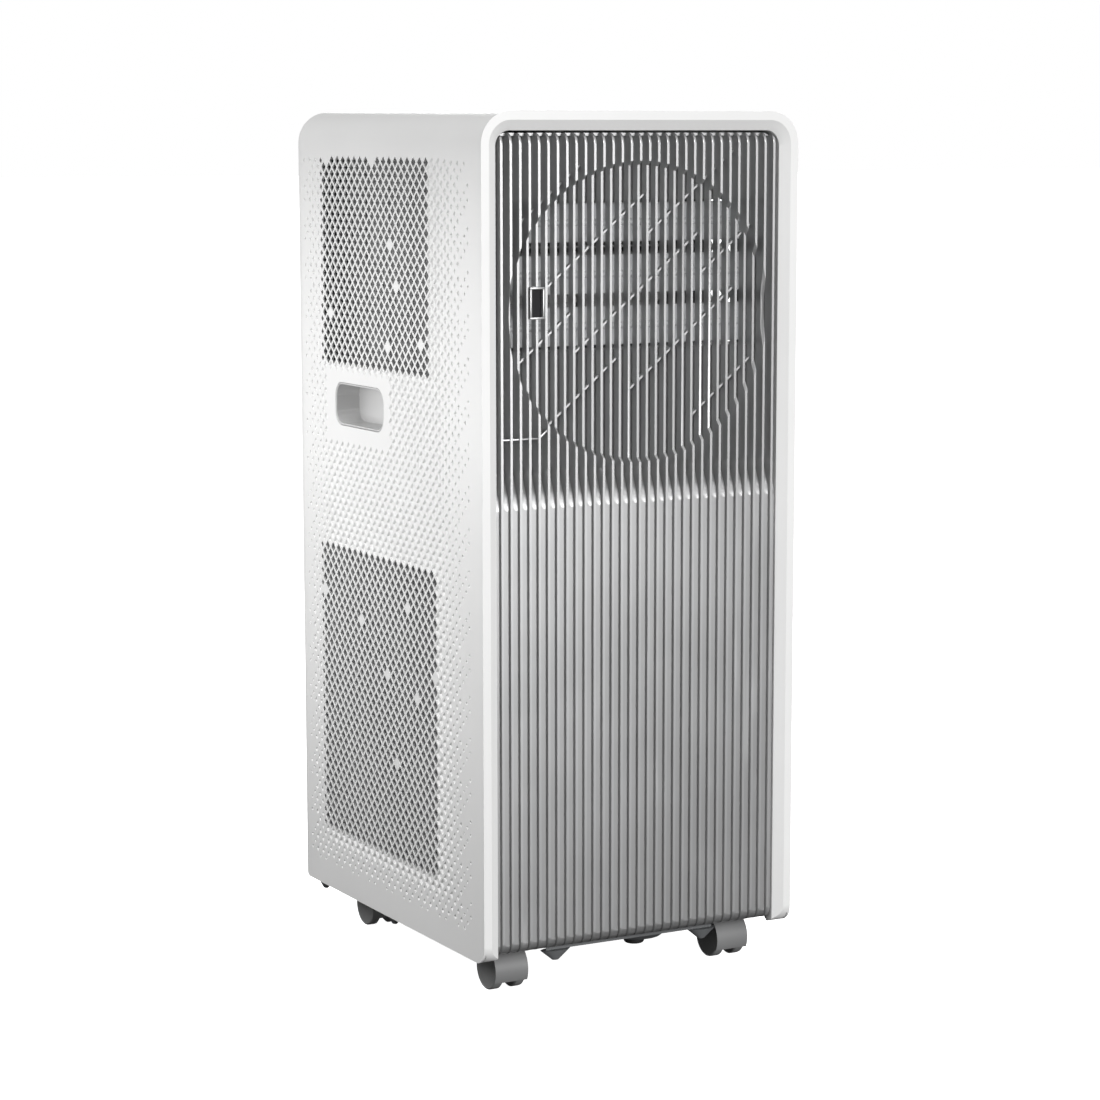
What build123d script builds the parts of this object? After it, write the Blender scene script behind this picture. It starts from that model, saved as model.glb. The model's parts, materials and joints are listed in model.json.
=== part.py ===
from build123d import *
import math
import os

# Portable air conditioner: a tall cabinet on four swivel casters. A finned front panel covers the
# air outlet, both side walls are perforated, and an exhaust collar sits in the back.
# Units are millimetres. +Z is up, the front faces -Y, and the origin is on the floor, under the
# middle of the cabinet.

os.makedirs("parts", exist_ok=True)

# ---------------------------------------------------------------- driving dimensions
WIDTH = 300.0
DEPTH = 380.0
HEIGHT = 735.0
BASE = 35.0  # underside of the cabinet above the floor
WALL = 2.5
EDGE_R = 27.0  # the cabinet's large outer edge radius
SEAM = 0.5  # gap between neighbouring shell panels
FIT = 0.06  # radial clearance of a shaft in its hole

HALF_W = WIDTH / 2
FRONT = -DEPTH / 2
BACK = DEPTH / 2
SEAM_X = 122.0  # side panels run inward to here, on the top and on the back
TOP_SEAM_Z = 706.0  # top cover above, rear panel below

# ---------------------------------------------------------------- front frame and grille
LIP = 1.6  # front lip that hides the edges of the side panels
FRAME_DEPTH = 15.0
STRIP = 7.25  # flat strip around the front
BEVEL = 8.45  # sloping band inside the strip
BEVEL_DEPTH = 5.5
OPEN_X = HALF_W - STRIP - BEVEL
OPEN_TOP = HEIGHT - STRIP - BEVEL
OPEN_R = 12.5

FIN_COUNT = 31
FIN_PITCH = 8.621
FIN_THICK = 2.1
FIN_FRONT = FRONT + 4.7
FIN_DEPTH = 12.0
FIN_BACK = FIN_FRONT + FIN_DEPTH
FIN_TOP = OPEN_TOP - 2.0
FIN_BOTTOM = BASE + 4.0
FIN_TOP_R = 8.0
FLOOR_SETBACK = 3.0  # the fluted lower panel behind the fin fronts
FLOOR_THICK = 2.0
RAMP_LOW = 412.0
RAMP_HIGH = 444.0
GRILLE_X = OPEN_X - 0.3
RAIL = 2.4

DISH_Z = 570.5
DISH_R = 122.5
DISH_DEPTH = 4.2
DISH_CHAMFER = 3.5

TIE_THICK = 1.6
TIE_DEPTH = 4.2
TIE_RISE = 7.07  # climb of a tie bar over one fin pitch
# tie bars between the fins: first gap, number of gaps, height at the first fin, climb per gap
TIES = [
    (5, 11, 590.7, TIE_RISE),
    (16, 10, 632.9, TIE_RISE),
    (2, 6, 529.8, TIE_RISE),
    (8, 14, 536.8, TIE_RISE),
    (22, 6, 599.9, TIE_RISE),
    (14, 12, 504.7, TIE_RISE),
    (21, 7, 480.5, TIE_RISE),
    (4, 9, 470.3, TIE_RISE),
    (2, 7, 642.8, TIE_RISE),
    (0, 4, 470.3, 0.0),
]

WINDOW_X = -95.8  # receiver window set between the fins
WINDOW_W = 10.4
WINDOW_Z = 580.5
WINDOW_H = 26.0
WINDOW_GAP = 0.3

# ---------------------------------------------------------------- handles and perforations
POCKET_Y = 44.8
POCKET_Z = 480.5
POCKET_L = 95.0
POCKET_H = 34.0
POCKET_R = 11.0
POCKET_DEPTH = 22.5
CUP_WALL = 1.8

HOLE_STEP = 23.4  # spacing of the intake openings along each diagonal row
HOLE_SIDE = 11.0
UPPER_ZONE = (-95.0, 122.0, 515.0, 696.0)  # low and high Y, low and high Z
LOWER_ZONE = (-109.0, 130.0, 95.0, 355.0)

# ---------------------------------------------------------------- casters
CASTER_X = 109.0
CASTER_FRONT_Y = -150.0
CASTER_REAR_Y = 92.0
CASTER_TRAIL = 9.0
WHEEL_R = 18.0
WHEEL_IN = 6.0
WHEEL_OUT = 15.5
HOOD_R = 20.0
HOOD_WALL = 1.4
STEM_R = 4.0
AXLE_R = 2.5
POCKET_CEILING = 40.0
CASTER_POCKET_R = 34.0
SOCKET_TOP = 60.0
CASTERS = {
    "front_left": (-CASTER_X, CASTER_FRONT_Y),
    "front_right": (CASTER_X, CASTER_FRONT_Y),
    "rear_left": (-CASTER_X, CASTER_REAR_Y),
    "rear_right": (CASTER_X, CASTER_REAR_Y),
}

# ---------------------------------------------------------------- louvres
LOUVRE_Y = -153.0
LOUVRE_Z = (558.5, 601.25, 644.0)
LOUVRE_CHORD = 32.5
LOUVRE_THICK = 2.4
LOUVRE_X = 116.0
LOUVRE_PIN_R = 2.5
CHEEK_X = 118.0
CHEEK = 2.5
CRANK = 10.0
CRANK_PIN_R = 1.5

# ---------------------------------------------------------------- fans and duct
CROSS_Y = -72.0
CROSS_Z = 606.0
CROSS_R = 50.0
CROSS_X = (-99.0, 67.0)
SHAFT_R = 4.0

BLOWER_X = -15.0
BLOWER_Z = 192.0
BLOWER_R = 88.0
SCROLL_Y = (-170.0, -88.0)

COLLAR_X = 40.0
COLLAR_Z = 395.0
COLLAR_R = 70.0
COLLAR_WALL = 2.0

FILTER_X = (115.0, 119.0)
FILTER_Y = (-90.0, 189.0)
FILTER_Z = (512.0, 698.0)

PANEL_Y = -120.0  # control panel on the top
PANEL_L = 184.0
PANEL_W = 58.0
PANEL_TOP = HEIGHT - 1.6
PANEL_THICK = 3.0
BUTTON_L = 22.0
BUTTON_W = 14.0
BUTTONS = {"power": -72.0, "mode": -42.0, "fan_speed": 42.0, "timer": 72.0}


def box_between(x, y, z, mode=Mode.ADD):
    """Add a box given by its low and high X, Y and Z."""
    with Locations(((x[0] + x[1]) / 2, (y[0] + y[1]) / 2, (z[0] + z[1]) / 2)):
        Box(x[1] - x[0], y[1] - y[0], z[1] - z[0], mode=mode)


def arched_outline(sketch, half_width, bottom, top, radius):
    """Draw a doorway shape on a sketch: square below, rounded at both top corners."""
    with Locations((0, (bottom + top) / 2)):
        Rectangle(2 * half_width, top - bottom)
    fillet(sketch.vertices().group_by(Axis.Y)[-1], radius)


def rounded_body(inset):
    """The cabinet's outer form, or its inner face when inset by the wall."""
    with BuildPart() as body:
        box_between(
            (-HALF_W + inset, HALF_W - inset),
            (FRONT + LIP - inset, BACK - inset),
            (BASE + inset, HEIGHT - inset),
        )
        upright = body.edges().filter_by(Axis.Z).group_by(Axis.Y)[-1]
        crown = body.edges().filter_by(Axis.Y).group_by(Axis.Z)[-1]
        across = body.edges().filter_by(Axis.X).group_by(Axis.Y)[-1]
        fillet(upright + crown + across, EDGE_R - inset)
    return body.part


def shell_piece(x, y, z):
    """The part of the cabinet's wall that lies inside the given box."""
    with BuildPart() as piece:
        add(rounded_body(0))
        add(rounded_body(WALL), mode=Mode.SUBTRACT)
        box_between(x, y, z, mode=Mode.INTERSECT)
    return piece.part


def toe_cut(radius):
    """The corner that is cut away where the front rounds under at the bottom."""
    with BuildPart() as corner:
        with BuildSketch(Plane.YZ) as profile:
            with BuildLine():
                Polyline(
                    (FRONT + radius, BASE),
                    (FRONT + radius, BASE - 1),
                    (FRONT - 1, BASE - 1),
                    (FRONT - 1, BASE + radius),
                    (FRONT, BASE + radius),
                )
                RadiusArc((FRONT, BASE + radius), (FRONT + radius, BASE), -radius)
            make_face()
        extrude(amount=HALF_W + 1, both=True)
    return corner.part


TOE_R = 15.0
toe = toe_cut(TOE_R)

# ================================================================ cabinet shell
with BuildPart() as front_frame:
    with BuildSketch(Plane.XZ.offset(-FRONT)) as lip_outline:
        arched_outline(lip_outline, HALF_W, BASE, HEIGHT, EDGE_R)
    extrude(amount=-LIP)
    inner_edge = WALL + 0.3
    with BuildSketch(Plane.XZ.offset(-FRONT - LIP)) as rim_outline:
        arched_outline(rim_outline, HALF_W - inner_edge, BASE, HEIGHT - inner_edge, EDGE_R - inner_edge)
    extrude(amount=-(FRAME_DEPTH - LIP))
    with BuildSketch(Plane.XZ.offset(-FRONT)) as bevel_front:
        arched_outline(bevel_front, HALF_W - STRIP, BASE - 5, HEIGHT - STRIP, EDGE_R - STRIP)
    with BuildSketch(Plane.XZ.offset(-FRONT - BEVEL_DEPTH)) as bevel_back:
        arched_outline(bevel_back, OPEN_X, BASE - 5, OPEN_TOP, OPEN_R)
    loft(mode=Mode.SUBTRACT)
    with BuildSketch(Plane.XZ.offset(-FRONT - BEVEL_DEPTH)) as opening:
        arched_outline(opening, OPEN_X, BASE - 5, OPEN_TOP, OPEN_R)
    extrude(amount=-FRAME_DEPTH, mode=Mode.SUBTRACT)
    add(toe, mode=Mode.SUBTRACT)
front_frame.part.label = "front_frame"
export_step(front_frame.part, "parts/front_frame.step")

fin_positions = [(i - (FIN_COUNT - 1) / 2) * FIN_PITCH for i in range(FIN_COUNT)]
floor_mid = FIN_FRONT + FLOOR_SETBACK + FLOOR_THICK / 2
floor_low = FIN_BOTTOM + FLOOR_THICK / 2
floor_r = FIN_BACK - floor_mid
toe_fin_r = FIN_DEPTH - 0.1

with BuildPart() as front_grille:
    # fins
    with BuildSketch(*[Plane.YZ.offset(x - FIN_THICK / 2) for x in fin_positions]) as fin_profile:
        with Locations(((FIN_FRONT + FIN_BACK) / 2, (FIN_BOTTOM + FIN_TOP) / 2)):
            Rectangle(FIN_DEPTH, FIN_TOP - FIN_BOTTOM)
        front_corners = fin_profile.vertices().group_by(Axis.X)[0].sort_by(Axis.Y)
        fillet(front_corners[0], toe_fin_r)
        top_corner = fin_profile.vertices().group_by(Axis.Y)[-1].sort_by(Axis.X)[0]
        fillet(top_corner, FIN_TOP_R)
    extrude(amount=FIN_THICK)
    # fluted floor between the lower fins, ramping back behind them at its top
    with BuildSketch(Plane.YZ.offset(-GRILLE_X)) as floor_profile:
        with BuildLine() as floor_line:
            RadiusArc((FIN_BACK, floor_low), (floor_mid, floor_low + floor_r), floor_r)
            Line((floor_mid, floor_low + floor_r), (floor_mid, RAMP_LOW))
            Spline(
                (floor_mid, RAMP_LOW),
                (FIN_BACK + FLOOR_THICK / 2, RAMP_HIGH),
                tangents=[(0, 1), (0, 1)],
            )
        trace(line_width=FLOOR_THICK)
    extrude(amount=2 * GRILLE_X)
    # upright side rails and a top rail hold the fins
    for side in (-1, 1):
        rail_x = sorted((side * (GRILLE_X - RAIL), side * GRILLE_X))
        box_between(rail_x, (FIN_BACK - 4, FIN_BACK + 2), (floor_low + floor_r, FIN_TOP))
    box_between((-GRILLE_X, GRILLE_X), (FIN_BACK - 4, FIN_BACK + 2), (FIN_TOP - RAIL, FIN_TOP))
    # tie bars
    with BuildSketch(Plane.XZ.offset(-FIN_BACK + TIE_DEPTH)) as tie_bars:
        for first, gaps, height, climb in TIES:
            run = gaps * FIN_PITCH
            rise = gaps * climb
            middle = (fin_positions[first] + run / 2, height + rise / 2)
            with Locations(middle):
                Rectangle(math.hypot(run, rise), TIE_THICK, rotation=math.degrees(math.atan2(rise, run)))
    extrude(amount=-TIE_DEPTH)
    # shallow round dish
    with BuildSketch(Plane.XZ.offset(-FIN_FRONT + 0.01)) as dish_mouth:
        with Locations((0, DISH_Z)):
            Circle(DISH_R + DISH_CHAMFER / 2)
    with BuildSketch(Plane.XZ.offset(-FIN_FRONT - DISH_DEPTH)) as dish_floor:
        with Locations((0, DISH_Z)):
            Circle(DISH_R - DISH_CHAMFER / 2)
    loft(mode=Mode.SUBTRACT)
    # room for the receiver window
    box_between(
        (WINDOW_X - WINDOW_W / 2 - WINDOW_GAP, WINDOW_X + WINDOW_W / 2 + WINDOW_GAP),
        (FIN_FRONT - 1, FIN_BACK - 1.5),
        (WINDOW_Z - WINDOW_H / 2 - WINDOW_GAP, WINDOW_Z + WINDOW_H / 2 + WINDOW_GAP),
        mode=Mode.SUBTRACT,
    )
    # the outline follows the frame's rounded inner corners
    with BuildSketch(Plane.XZ.offset(-FRONT)) as grille_outline:
        arched_outline(grille_outline, GRILLE_X, FIN_BOTTOM, FIN_TOP, OPEN_R)
    extrude(amount=-2 * FIN_DEPTH, mode=Mode.INTERSECT)
front_grille.part.label = "front_grille"
export_step(front_grille.part, "parts/front_grille.step")

with BuildPart() as receiver_window:
    box_between(
        (WINDOW_X - WINDOW_W / 2, WINDOW_X + WINDOW_W / 2),
        (FIN_FRONT + DISH_DEPTH - 1.2, FIN_BACK - 1.5),
        (WINDOW_Z - WINDOW_H / 2, WINDOW_Z + WINDOW_H / 2),
    )
    with BuildSketch(Plane.XZ.offset(-FIN_FRONT - DISH_DEPTH + 1.2)) as lens_recess:
        with Locations((WINDOW_X, WINDOW_Z)):
            RectangleRounded(WINDOW_W - 3, WINDOW_H - 3, 1.2)
    extrude(amount=-0.8, mode=Mode.SUBTRACT)
receiver_window.part.label = "receiver_window"
export_step(receiver_window.part, "parts/receiver_window.step")


def diamond_centres(zone):
    """Centres of the intake openings in one zone, in staggered rows."""
    low_y, high_y, low_z, high_z = zone
    half = HOLE_STEP / 2
    margin = HOLE_SIDE * math.sqrt(0.5)
    columns = int((high_y - low_y - 2 * margin) / half)
    rows = int((high_z - low_z - 2 * margin) / half)
    start_y = (low_y + high_y - columns * half) / 2
    start_z = (low_z + high_z - rows * half) / 2
    return [
        (start_y + c * half, start_z + r * half)
        for c in range(columns + 1)
        for r in range(rows + 1)
        if (c + r) % 2 == 0
    ]


PAN_X = HALF_W - WALL - 0.4
PAN_FRONT = FIN_BACK + 3.3
PAN_BACK = BACK - WALL - 0.4
side_region = shell_piece((-HALF_W - 1, -SEAM_X - SEAM / 2), (FRONT, BACK + 1), (BASE - 1, HEIGHT + 1))

with BuildPart() as left_side_panel:
    add(side_region)
    # the base pan closes the bottom
    box_between((-PAN_X - 0.4, -SEAM_X + 1), (FRONT, BACK - EDGE_R), (BASE - 1, BASE + 4), mode=Mode.SUBTRACT)
    add(toe, mode=Mode.SUBTRACT)
    # perforated intakes and the handle opening
    with BuildSketch(Plane.YZ.offset(-HALF_W - 1)) as intakes:
        with Locations(*diamond_centres(UPPER_ZONE), *diamond_centres(LOWER_ZONE)):
            Rectangle(HOLE_SIDE, HOLE_SIDE, rotation=45)
    extrude(amount=WALL + 2, mode=Mode.SUBTRACT)
    with BuildSketch(Plane.YZ.offset(-HALF_W - 1)) as handle_opening:
        with Locations((POCKET_Y, POCKET_Z)):
            RectangleRounded(
                POCKET_L + 2 * CUP_WALL + 0.6,
                POCKET_H + 2 * CUP_WALL + 0.6,
                POCKET_R + CUP_WALL + 0.3,
            )
    extrude(amount=WALL + 2, mode=Mode.SUBTRACT)
left_side_panel.part.label = "left_side_panel"
export_step(left_side_panel.part, "parts/left_side_panel.step")

with BuildPart() as right_side_panel:
    mirror(left_side_panel.part, about=Plane.YZ)
right_side_panel.part.label = "right_side_panel"
export_step(right_side_panel.part, "parts/right_side_panel.step")

with BuildPart() as left_handle_cup:
    with BuildSketch(Plane.YZ.offset(-HALF_W)) as cup_outline:
        with Locations((POCKET_Y, POCKET_Z)):
            RectangleRounded(POCKET_L + 2 * CUP_WALL, POCKET_H + 2 * CUP_WALL, POCKET_R + CUP_WALL)
    extrude(amount=POCKET_DEPTH + CUP_WALL)
    with BuildSketch(Plane.YZ.offset(-HALF_W)) as cup_hollow:
        with Locations((POCKET_Y, POCKET_Z)):
            RectangleRounded(POCKET_L, POCKET_H, POCKET_R)
    extrude(amount=POCKET_DEPTH, mode=Mode.SUBTRACT)
    cup_back = left_handle_cup.faces().filter_by(Axis.X).sort_by(Axis.X)[-1]
    fillet(cup_back.edges(), 1.5)
left_handle_cup.part.label = "left_handle_cup"
export_step(left_handle_cup.part, "parts/left_handle_cup.step")

with BuildPart() as right_handle_cup:
    mirror(left_handle_cup.part, about=Plane.YZ)
right_handle_cup.part.label = "right_handle_cup"
export_step(right_handle_cup.part, "parts/right_handle_cup.step")

middle_x = (-SEAM_X + SEAM / 2, SEAM_X - SEAM / 2)
with BuildPart() as top_cover:
    add(shell_piece(middle_x, (FRONT, BACK + 1), (TOP_SEAM_Z, HEIGHT + 1)))
    with BuildSketch(Plane.XY.offset(HEIGHT + 1)) as panel_opening:
        with Locations((0, PANEL_Y)):
            RectangleRounded(PANEL_L, PANEL_W, 8)
    extrude(amount=-(WALL + 2), mode=Mode.SUBTRACT)
top_cover.part.label = "top_cover"
export_step(top_cover.part, "parts/top_cover.step")

GLAND_X = -92.0
GLAND_Z = 100.0
GLAND_R = 11.0
SCREW_SPOTS = [(x, z) for x in (-100, 100) for z in (75, 235, 500, 690)]
with BuildPart() as rear_panel:
    add(shell_piece(middle_x, (PAN_BACK - EDGE_R, BACK + 1), (BASE - 1, TOP_SEAM_Z - SEAM)))
    box_between(middle_x, (FRONT, BACK - EDGE_R), (BASE - 1, BASE + 4), mode=Mode.SUBTRACT)
    with BuildSketch(Plane.XZ.offset(-BACK - 1)) as rear_openings:
        with Locations((COLLAR_X, COLLAR_Z)):
            Circle(COLLAR_R + COLLAR_WALL + 0.3)
        with Locations((GLAND_X, GLAND_Z)):
            Circle(GLAND_R + 0.2)
        for side in (-1, 1):
            with Locations((side * sum(FILTER_X) / 2, sum(FILTER_Z) / 2)):
                Rectangle(FILTER_X[1] - FILTER_X[0] + 1, FILTER_Z[1] - FILTER_Z[0] + 1)
        with Locations(*SCREW_SPOTS):
            Circle(1.8)
    extrude(amount=WALL + 2, mode=Mode.SUBTRACT)
    with BuildSketch(Plane.XZ.offset(-BACK)) as counterbores:
        with Locations(*SCREW_SPOTS):
            Circle(4.0)
    extrude(amount=1.5, mode=Mode.SUBTRACT)
rear_panel.part.label = "rear_panel"
export_step(rear_panel.part, "parts/rear_panel.step")

with BuildPart() as rear_screws:
    with BuildSketch(Plane.XZ.offset(-BACK + 0.1)) as screw_heads:
        with Locations(*SCREW_SPOTS):
            Circle(3.5)
    extrude(amount=1.4)
    with BuildSketch(Plane.XZ.offset(-BACK + 1.5)) as screw_shanks:
        with Locations(*SCREW_SPOTS):
            Circle(1.6)
    extrude(amount=5)
rear_screws.part.label = "rear_screws"
export_step(rear_screws.part, "parts/rear_screws.step")

# ================================================================ base pan and underside
SUMP_X = 33.0
SUMP_Y = -120.0
SUMP_R = 37.0
SUMP_DEPTH = 11.0
PLUG_R = 6.0
BUMP_DROP = 9.0
BUMP_HALF = (14.0, 6.0)
BUMPS = [(-72, -169, 0), (72, -169, 0), (-140, 3, 90), (-140, 150, 90), (140, 3, 90), (140, 150, 90)]
PAN_TOP = BASE + 3.0

with BuildPart() as base_pan:
    with BuildSketch(Plane.XY.offset(BASE)) as pan_outline:
        with Locations((0, (PAN_FRONT + BACK - EDGE_R) / 2)):
            Rectangle(2 * PAN_X, BACK - EDGE_R - PAN_FRONT - 0.6)
    extrude(amount=PAN_TOP - BASE)
    # upturned rim
    with BuildSketch(Plane.XY.offset(PAN_TOP)) as rim:
        with Locations((0, (PAN_FRONT + BACK - EDGE_R) / 2)):
            Rectangle(2 * PAN_X, BACK - EDGE_R - PAN_FRONT - 0.6)
            Rectangle(2 * PAN_X - 4, BACK - EDGE_R - PAN_FRONT - 4.6, mode=Mode.SUBTRACT)
    extrude(amount=18)
    # raised housings above the casters
    with BuildSketch(Plane.XY.offset(BASE)) as housings:
        with Locations(*CASTERS.values()):
            Circle(CASTER_POCKET_R + 2.5)
    extrude(amount=POCKET_CEILING + 3 - BASE)
    box_between((-PAN_X, PAN_X), (FRONT, PAN_FRONT), (BASE - 1, PAN_TOP + 18), mode=Mode.SUBTRACT)
    with BuildSketch(Plane.XY.offset(BASE - 1)) as pockets:
        with Locations(*CASTERS.values()):
            Circle(CASTER_POCKET_R)
    extrude(amount=POCKET_CEILING - BASE + 1, mode=Mode.SUBTRACT)
    with BuildSketch(Plane.XY.offset(BASE)) as stem_holes:
        with Locations(*CASTERS.values()):
            Circle(STEM_R + 1)
    extrude(amount=12, mode=Mode.SUBTRACT)
    for side in (-1, 1):
        outer = sorted((side * PAN_X, side * (PAN_X + 10)))
        box_between(outer, (FRONT, BACK), (BASE - 1, PAN_TOP + 20), mode=Mode.SUBTRACT)
    # tapered bosses under the pan
    for x, y, turn in BUMPS:
        with BuildSketch(Plane.XY.offset(BASE)) as boss_base:
            with Locations((x, y)):
                Ellipse(*BUMP_HALF, rotation=turn)
        with BuildSketch(Plane.XY.offset(BASE - BUMP_DROP)) as boss_tip:
            with Locations((x, y)):
                Ellipse(3.0, 2.0, rotation=turn)
        loft()
    # drain sump: a tapered well with a threaded hole in its floor
    with BuildSketch(Plane.XY.offset(BASE)) as sump_mouth:
        with Locations((SUMP_X, SUMP_Y)):
            Circle(SUMP_R)
    extrude(amount=-SUMP_DEPTH, taper=50)
    with BuildSketch(Plane.XY.offset(PAN_TOP)) as sump_well:
        with Locations((SUMP_X, SUMP_Y)):
            Circle(SUMP_R - 2)
    extrude(amount=-SUMP_DEPTH, taper=50, mode=Mode.SUBTRACT)
    with BuildSketch(Plane.XY.offset(BASE)) as drain_hole:
        with Locations((SUMP_X, SUMP_Y)):
            Circle(PLUG_R + FIT)
    extrude(amount=-SUMP_DEPTH, mode=Mode.SUBTRACT)
base_pan.part.label = "base_pan"
export_step(base_pan.part, "parts/base_pan.step")

with BuildPart() as drain_plug:
    sump_floor = BASE - SUMP_DEPTH
    with BuildSketch(Plane.XY.offset(sump_floor + 3)) as plug_stem:
        with Locations((SUMP_X, SUMP_Y)):
            Circle(PLUG_R)
    extrude(amount=-4)
    with BuildSketch(Plane.XY.offset(sump_floor - 0.2)) as plug_head:
        with Locations((SUMP_X, SUMP_Y)):
            Circle(9.0)
    extrude(amount=-8)
    fillet(drain_plug.edges().group_by(Axis.Z)[0], 2.5)
drain_plug.part.label = "drain_plug"
export_step(drain_plug.part, "parts/drain_plug.step")

with BuildPart() as caster_sockets:
    with BuildSketch(Plane.XY.offset(POCKET_CEILING + 3)) as socket_flanges:
        with Locations(*CASTERS.values()):
            Circle(12)
    extrude(amount=2.5)
    with BuildSketch(Plane.XY.offset(POCKET_CEILING + 3)) as socket_bodies:
        with Locations(*CASTERS.values()):
            Circle(8)
    extrude(amount=SOCKET_TOP - POCKET_CEILING - 3)
    with BuildSketch(Plane.XY.offset(POCKET_CEILING)) as socket_bores:
        with Locations(*CASTERS.values()):
            Circle(STEM_R + FIT)
    extrude(amount=SOCKET_TOP, mode=Mode.SUBTRACT)
caster_sockets.part.label = "caster_sockets"
export_step(caster_sockets.part, "parts/caster_sockets.step")

# ================================================================ casters
for corner, (stem_x, stem_y) in CASTERS.items():
    axle_y = stem_y + CASTER_TRAIL
    with BuildPart() as caster_fork:
        # hood over the front and top of the wheels
        with BuildSketch(Plane.YZ.offset(stem_x - WHEEL_OUT)) as hood:
            with Locations((axle_y, WHEEL_R)):
                Circle(HOOD_R)
                Circle(HOOD_R - HOOD_WALL, mode=Mode.SUBTRACT)
            with Locations((axle_y + 18, WHEEL_R)):
                Rectangle(24, 60, mode=Mode.SUBTRACT)
            with Locations((axle_y, -3)):
                Rectangle(60, 24, mode=Mode.SUBTRACT)
        extrude(amount=2 * WHEEL_OUT)
        # central web between the wheels
        with BuildSketch(Plane.YZ.offset(stem_x - WHEEL_IN + 0.5)) as web:
            with Locations((axle_y, WHEEL_R)):
                Circle(HOOD_R - 0.5)
            with Locations((axle_y + 16, WHEEL_R)):
                Rectangle(20, 60, mode=Mode.SUBTRACT)
            with Locations((axle_y, -1)):
                Rectangle(60, 20, mode=Mode.SUBTRACT)
        extrude(amount=2 * WHEEL_IN - 1)
        with BuildSketch(Plane.XY.offset(WHEEL_R + 4)) as stem:
            with Locations((stem_x, stem_y)):
                Circle(STEM_R)
        extrude(amount=SOCKET_TOP - 1 - WHEEL_R - 4)
        with BuildSketch(Plane.YZ.offset(stem_x - 20)) as axle_hole:
            with Locations((axle_y, WHEEL_R)):
                Circle(AXLE_R + FIT)
        extrude(amount=40, mode=Mode.SUBTRACT)
    caster_fork.part.label = f"caster_fork_{corner}"
    export_step(caster_fork.part, f"parts/caster_fork_{corner}.step")

    with BuildPart() as caster_wheels:
        for side in (-1, 1):
            inner_face = stem_x + side * WHEEL_IN
            with BuildSketch(Plane.YZ.offset(inner_face)) as wheel:
                with Locations((axle_y, WHEEL_R)):
                    Circle(WHEEL_R)
                    Circle(AXLE_R + 0.02, mode=Mode.SUBTRACT)
            extrude(amount=side * (WHEEL_OUT - WHEEL_IN - 0.8))
        rims = caster_wheels.edges().filter_by(GeomType.CIRCLE)
        fillet([edge for edge in rims if edge.radius > WHEEL_R - 1], 1.8)
        for side in (-1, 1):
            cap_face = stem_x + side * (WHEEL_OUT - 0.8)
            with BuildSketch(Plane.YZ.offset(cap_face)) as hub_ring:
                with Locations((axle_y, WHEEL_R)):
                    Circle(12)
                    Circle(7, mode=Mode.SUBTRACT)
            extrude(amount=-side * 2.5, mode=Mode.SUBTRACT)
        # the steel axle is pressed into both wheels and turns with them
        with BuildSketch(Plane.YZ.offset(stem_x - WHEEL_OUT + 1)) as axle:
            with Locations((axle_y, WHEEL_R)):
                Circle(AXLE_R)
        extrude(amount=2 * WHEEL_OUT - 2)
    caster_wheels.part.label = f"caster_wheels_{corner}"
    export_step(caster_wheels.part, f"parts/caster_wheels_{corner}.step")

# ================================================================ air outlet and louvres
CHEEK_BACK = -136.0
FRAME_LOW = 444.0
WINDOW_LOW = 540.0
WINDOW_HIGH = 662.0
with BuildPart() as louvre_frame:
    box_between((-132, 132), (FIN_BACK + 2.3, FIN_BACK + 4.5), (FRAME_LOW, FIN_TOP - 1))
    box_between((-CHEEK_X, CHEEK_X), (FIN_BACK, FIN_BACK + 10), (WINDOW_LOW, WINDOW_HIGH), mode=Mode.SUBTRACT)
    for side in (-1, 1):
        cheek_x = sorted((side * CHEEK_X, side * (CHEEK_X + CHEEK)))
        box_between(cheek_x, (FIN_BACK + 2.3, CHEEK_BACK), (WINDOW_LOW - 4, WINDOW_HIGH + 4))
    box_between((-CHEEK_X, CHEEK_X), (FIN_BACK + 2.3, CHEEK_BACK), (WINDOW_HIGH, WINDOW_HIGH + 2))
    box_between((-CHEEK_X, CHEEK_X), (FIN_BACK + 2.3, CHEEK_BACK), (WINDOW_LOW - 2, WINDOW_LOW))
    with BuildSketch(Plane.YZ.offset(-CHEEK_X - 10)) as pivot_holes:
        with Locations(*[(LOUVRE_Y, z) for z in LOUVRE_Z]):
            Circle(LOUVRE_PIN_R + FIT)
    extrude(amount=2 * CHEEK_X + 20, mode=Mode.SUBTRACT)
louvre_frame.part.label = "louvre_frame"
export_step(louvre_frame.part, "parts/louvre_frame.step")

CRANK_X = CHEEK_X + CHEEK + 0.6
for number, height in enumerate(LOUVRE_Z, start=1):
    with BuildPart() as louvre_blade:
        with BuildSketch(Plane.YZ.offset(-LOUVRE_X)) as blade_section:
            with Locations((LOUVRE_Y, height)):
                SlotOverall(LOUVRE_CHORD, LOUVRE_THICK, rotation=90)
                Circle(3.2)
        extrude(amount=2 * LOUVRE_X)
        with BuildSketch(Plane.YZ.offset(-CHEEK_X - CHEEK - 1)) as pivots:
            with Locations((LOUVRE_Y, height)):
                Circle(LOUVRE_PIN_R)
        extrude(amount=CHEEK_X + CHEEK + 1 + CRANK_X + 2)
        with BuildSketch(Plane.YZ.offset(CRANK_X)) as crank_arm:
            with Locations((LOUVRE_Y + CRANK / 2, height)):
                SlotCenterToCenter(CRANK, 6.4)
        extrude(amount=2)
        with BuildSketch(Plane.YZ.offset(CRANK_X + 2)) as crank_pin:
            with Locations((LOUVRE_Y + CRANK, height)):
                Circle(CRANK_PIN_R)
        extrude(amount=3.4)
    louvre_blade.part.label = f"louvre_blade_{number}"
    export_step(louvre_blade.part, f"parts/louvre_blade_{number}.step")

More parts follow.
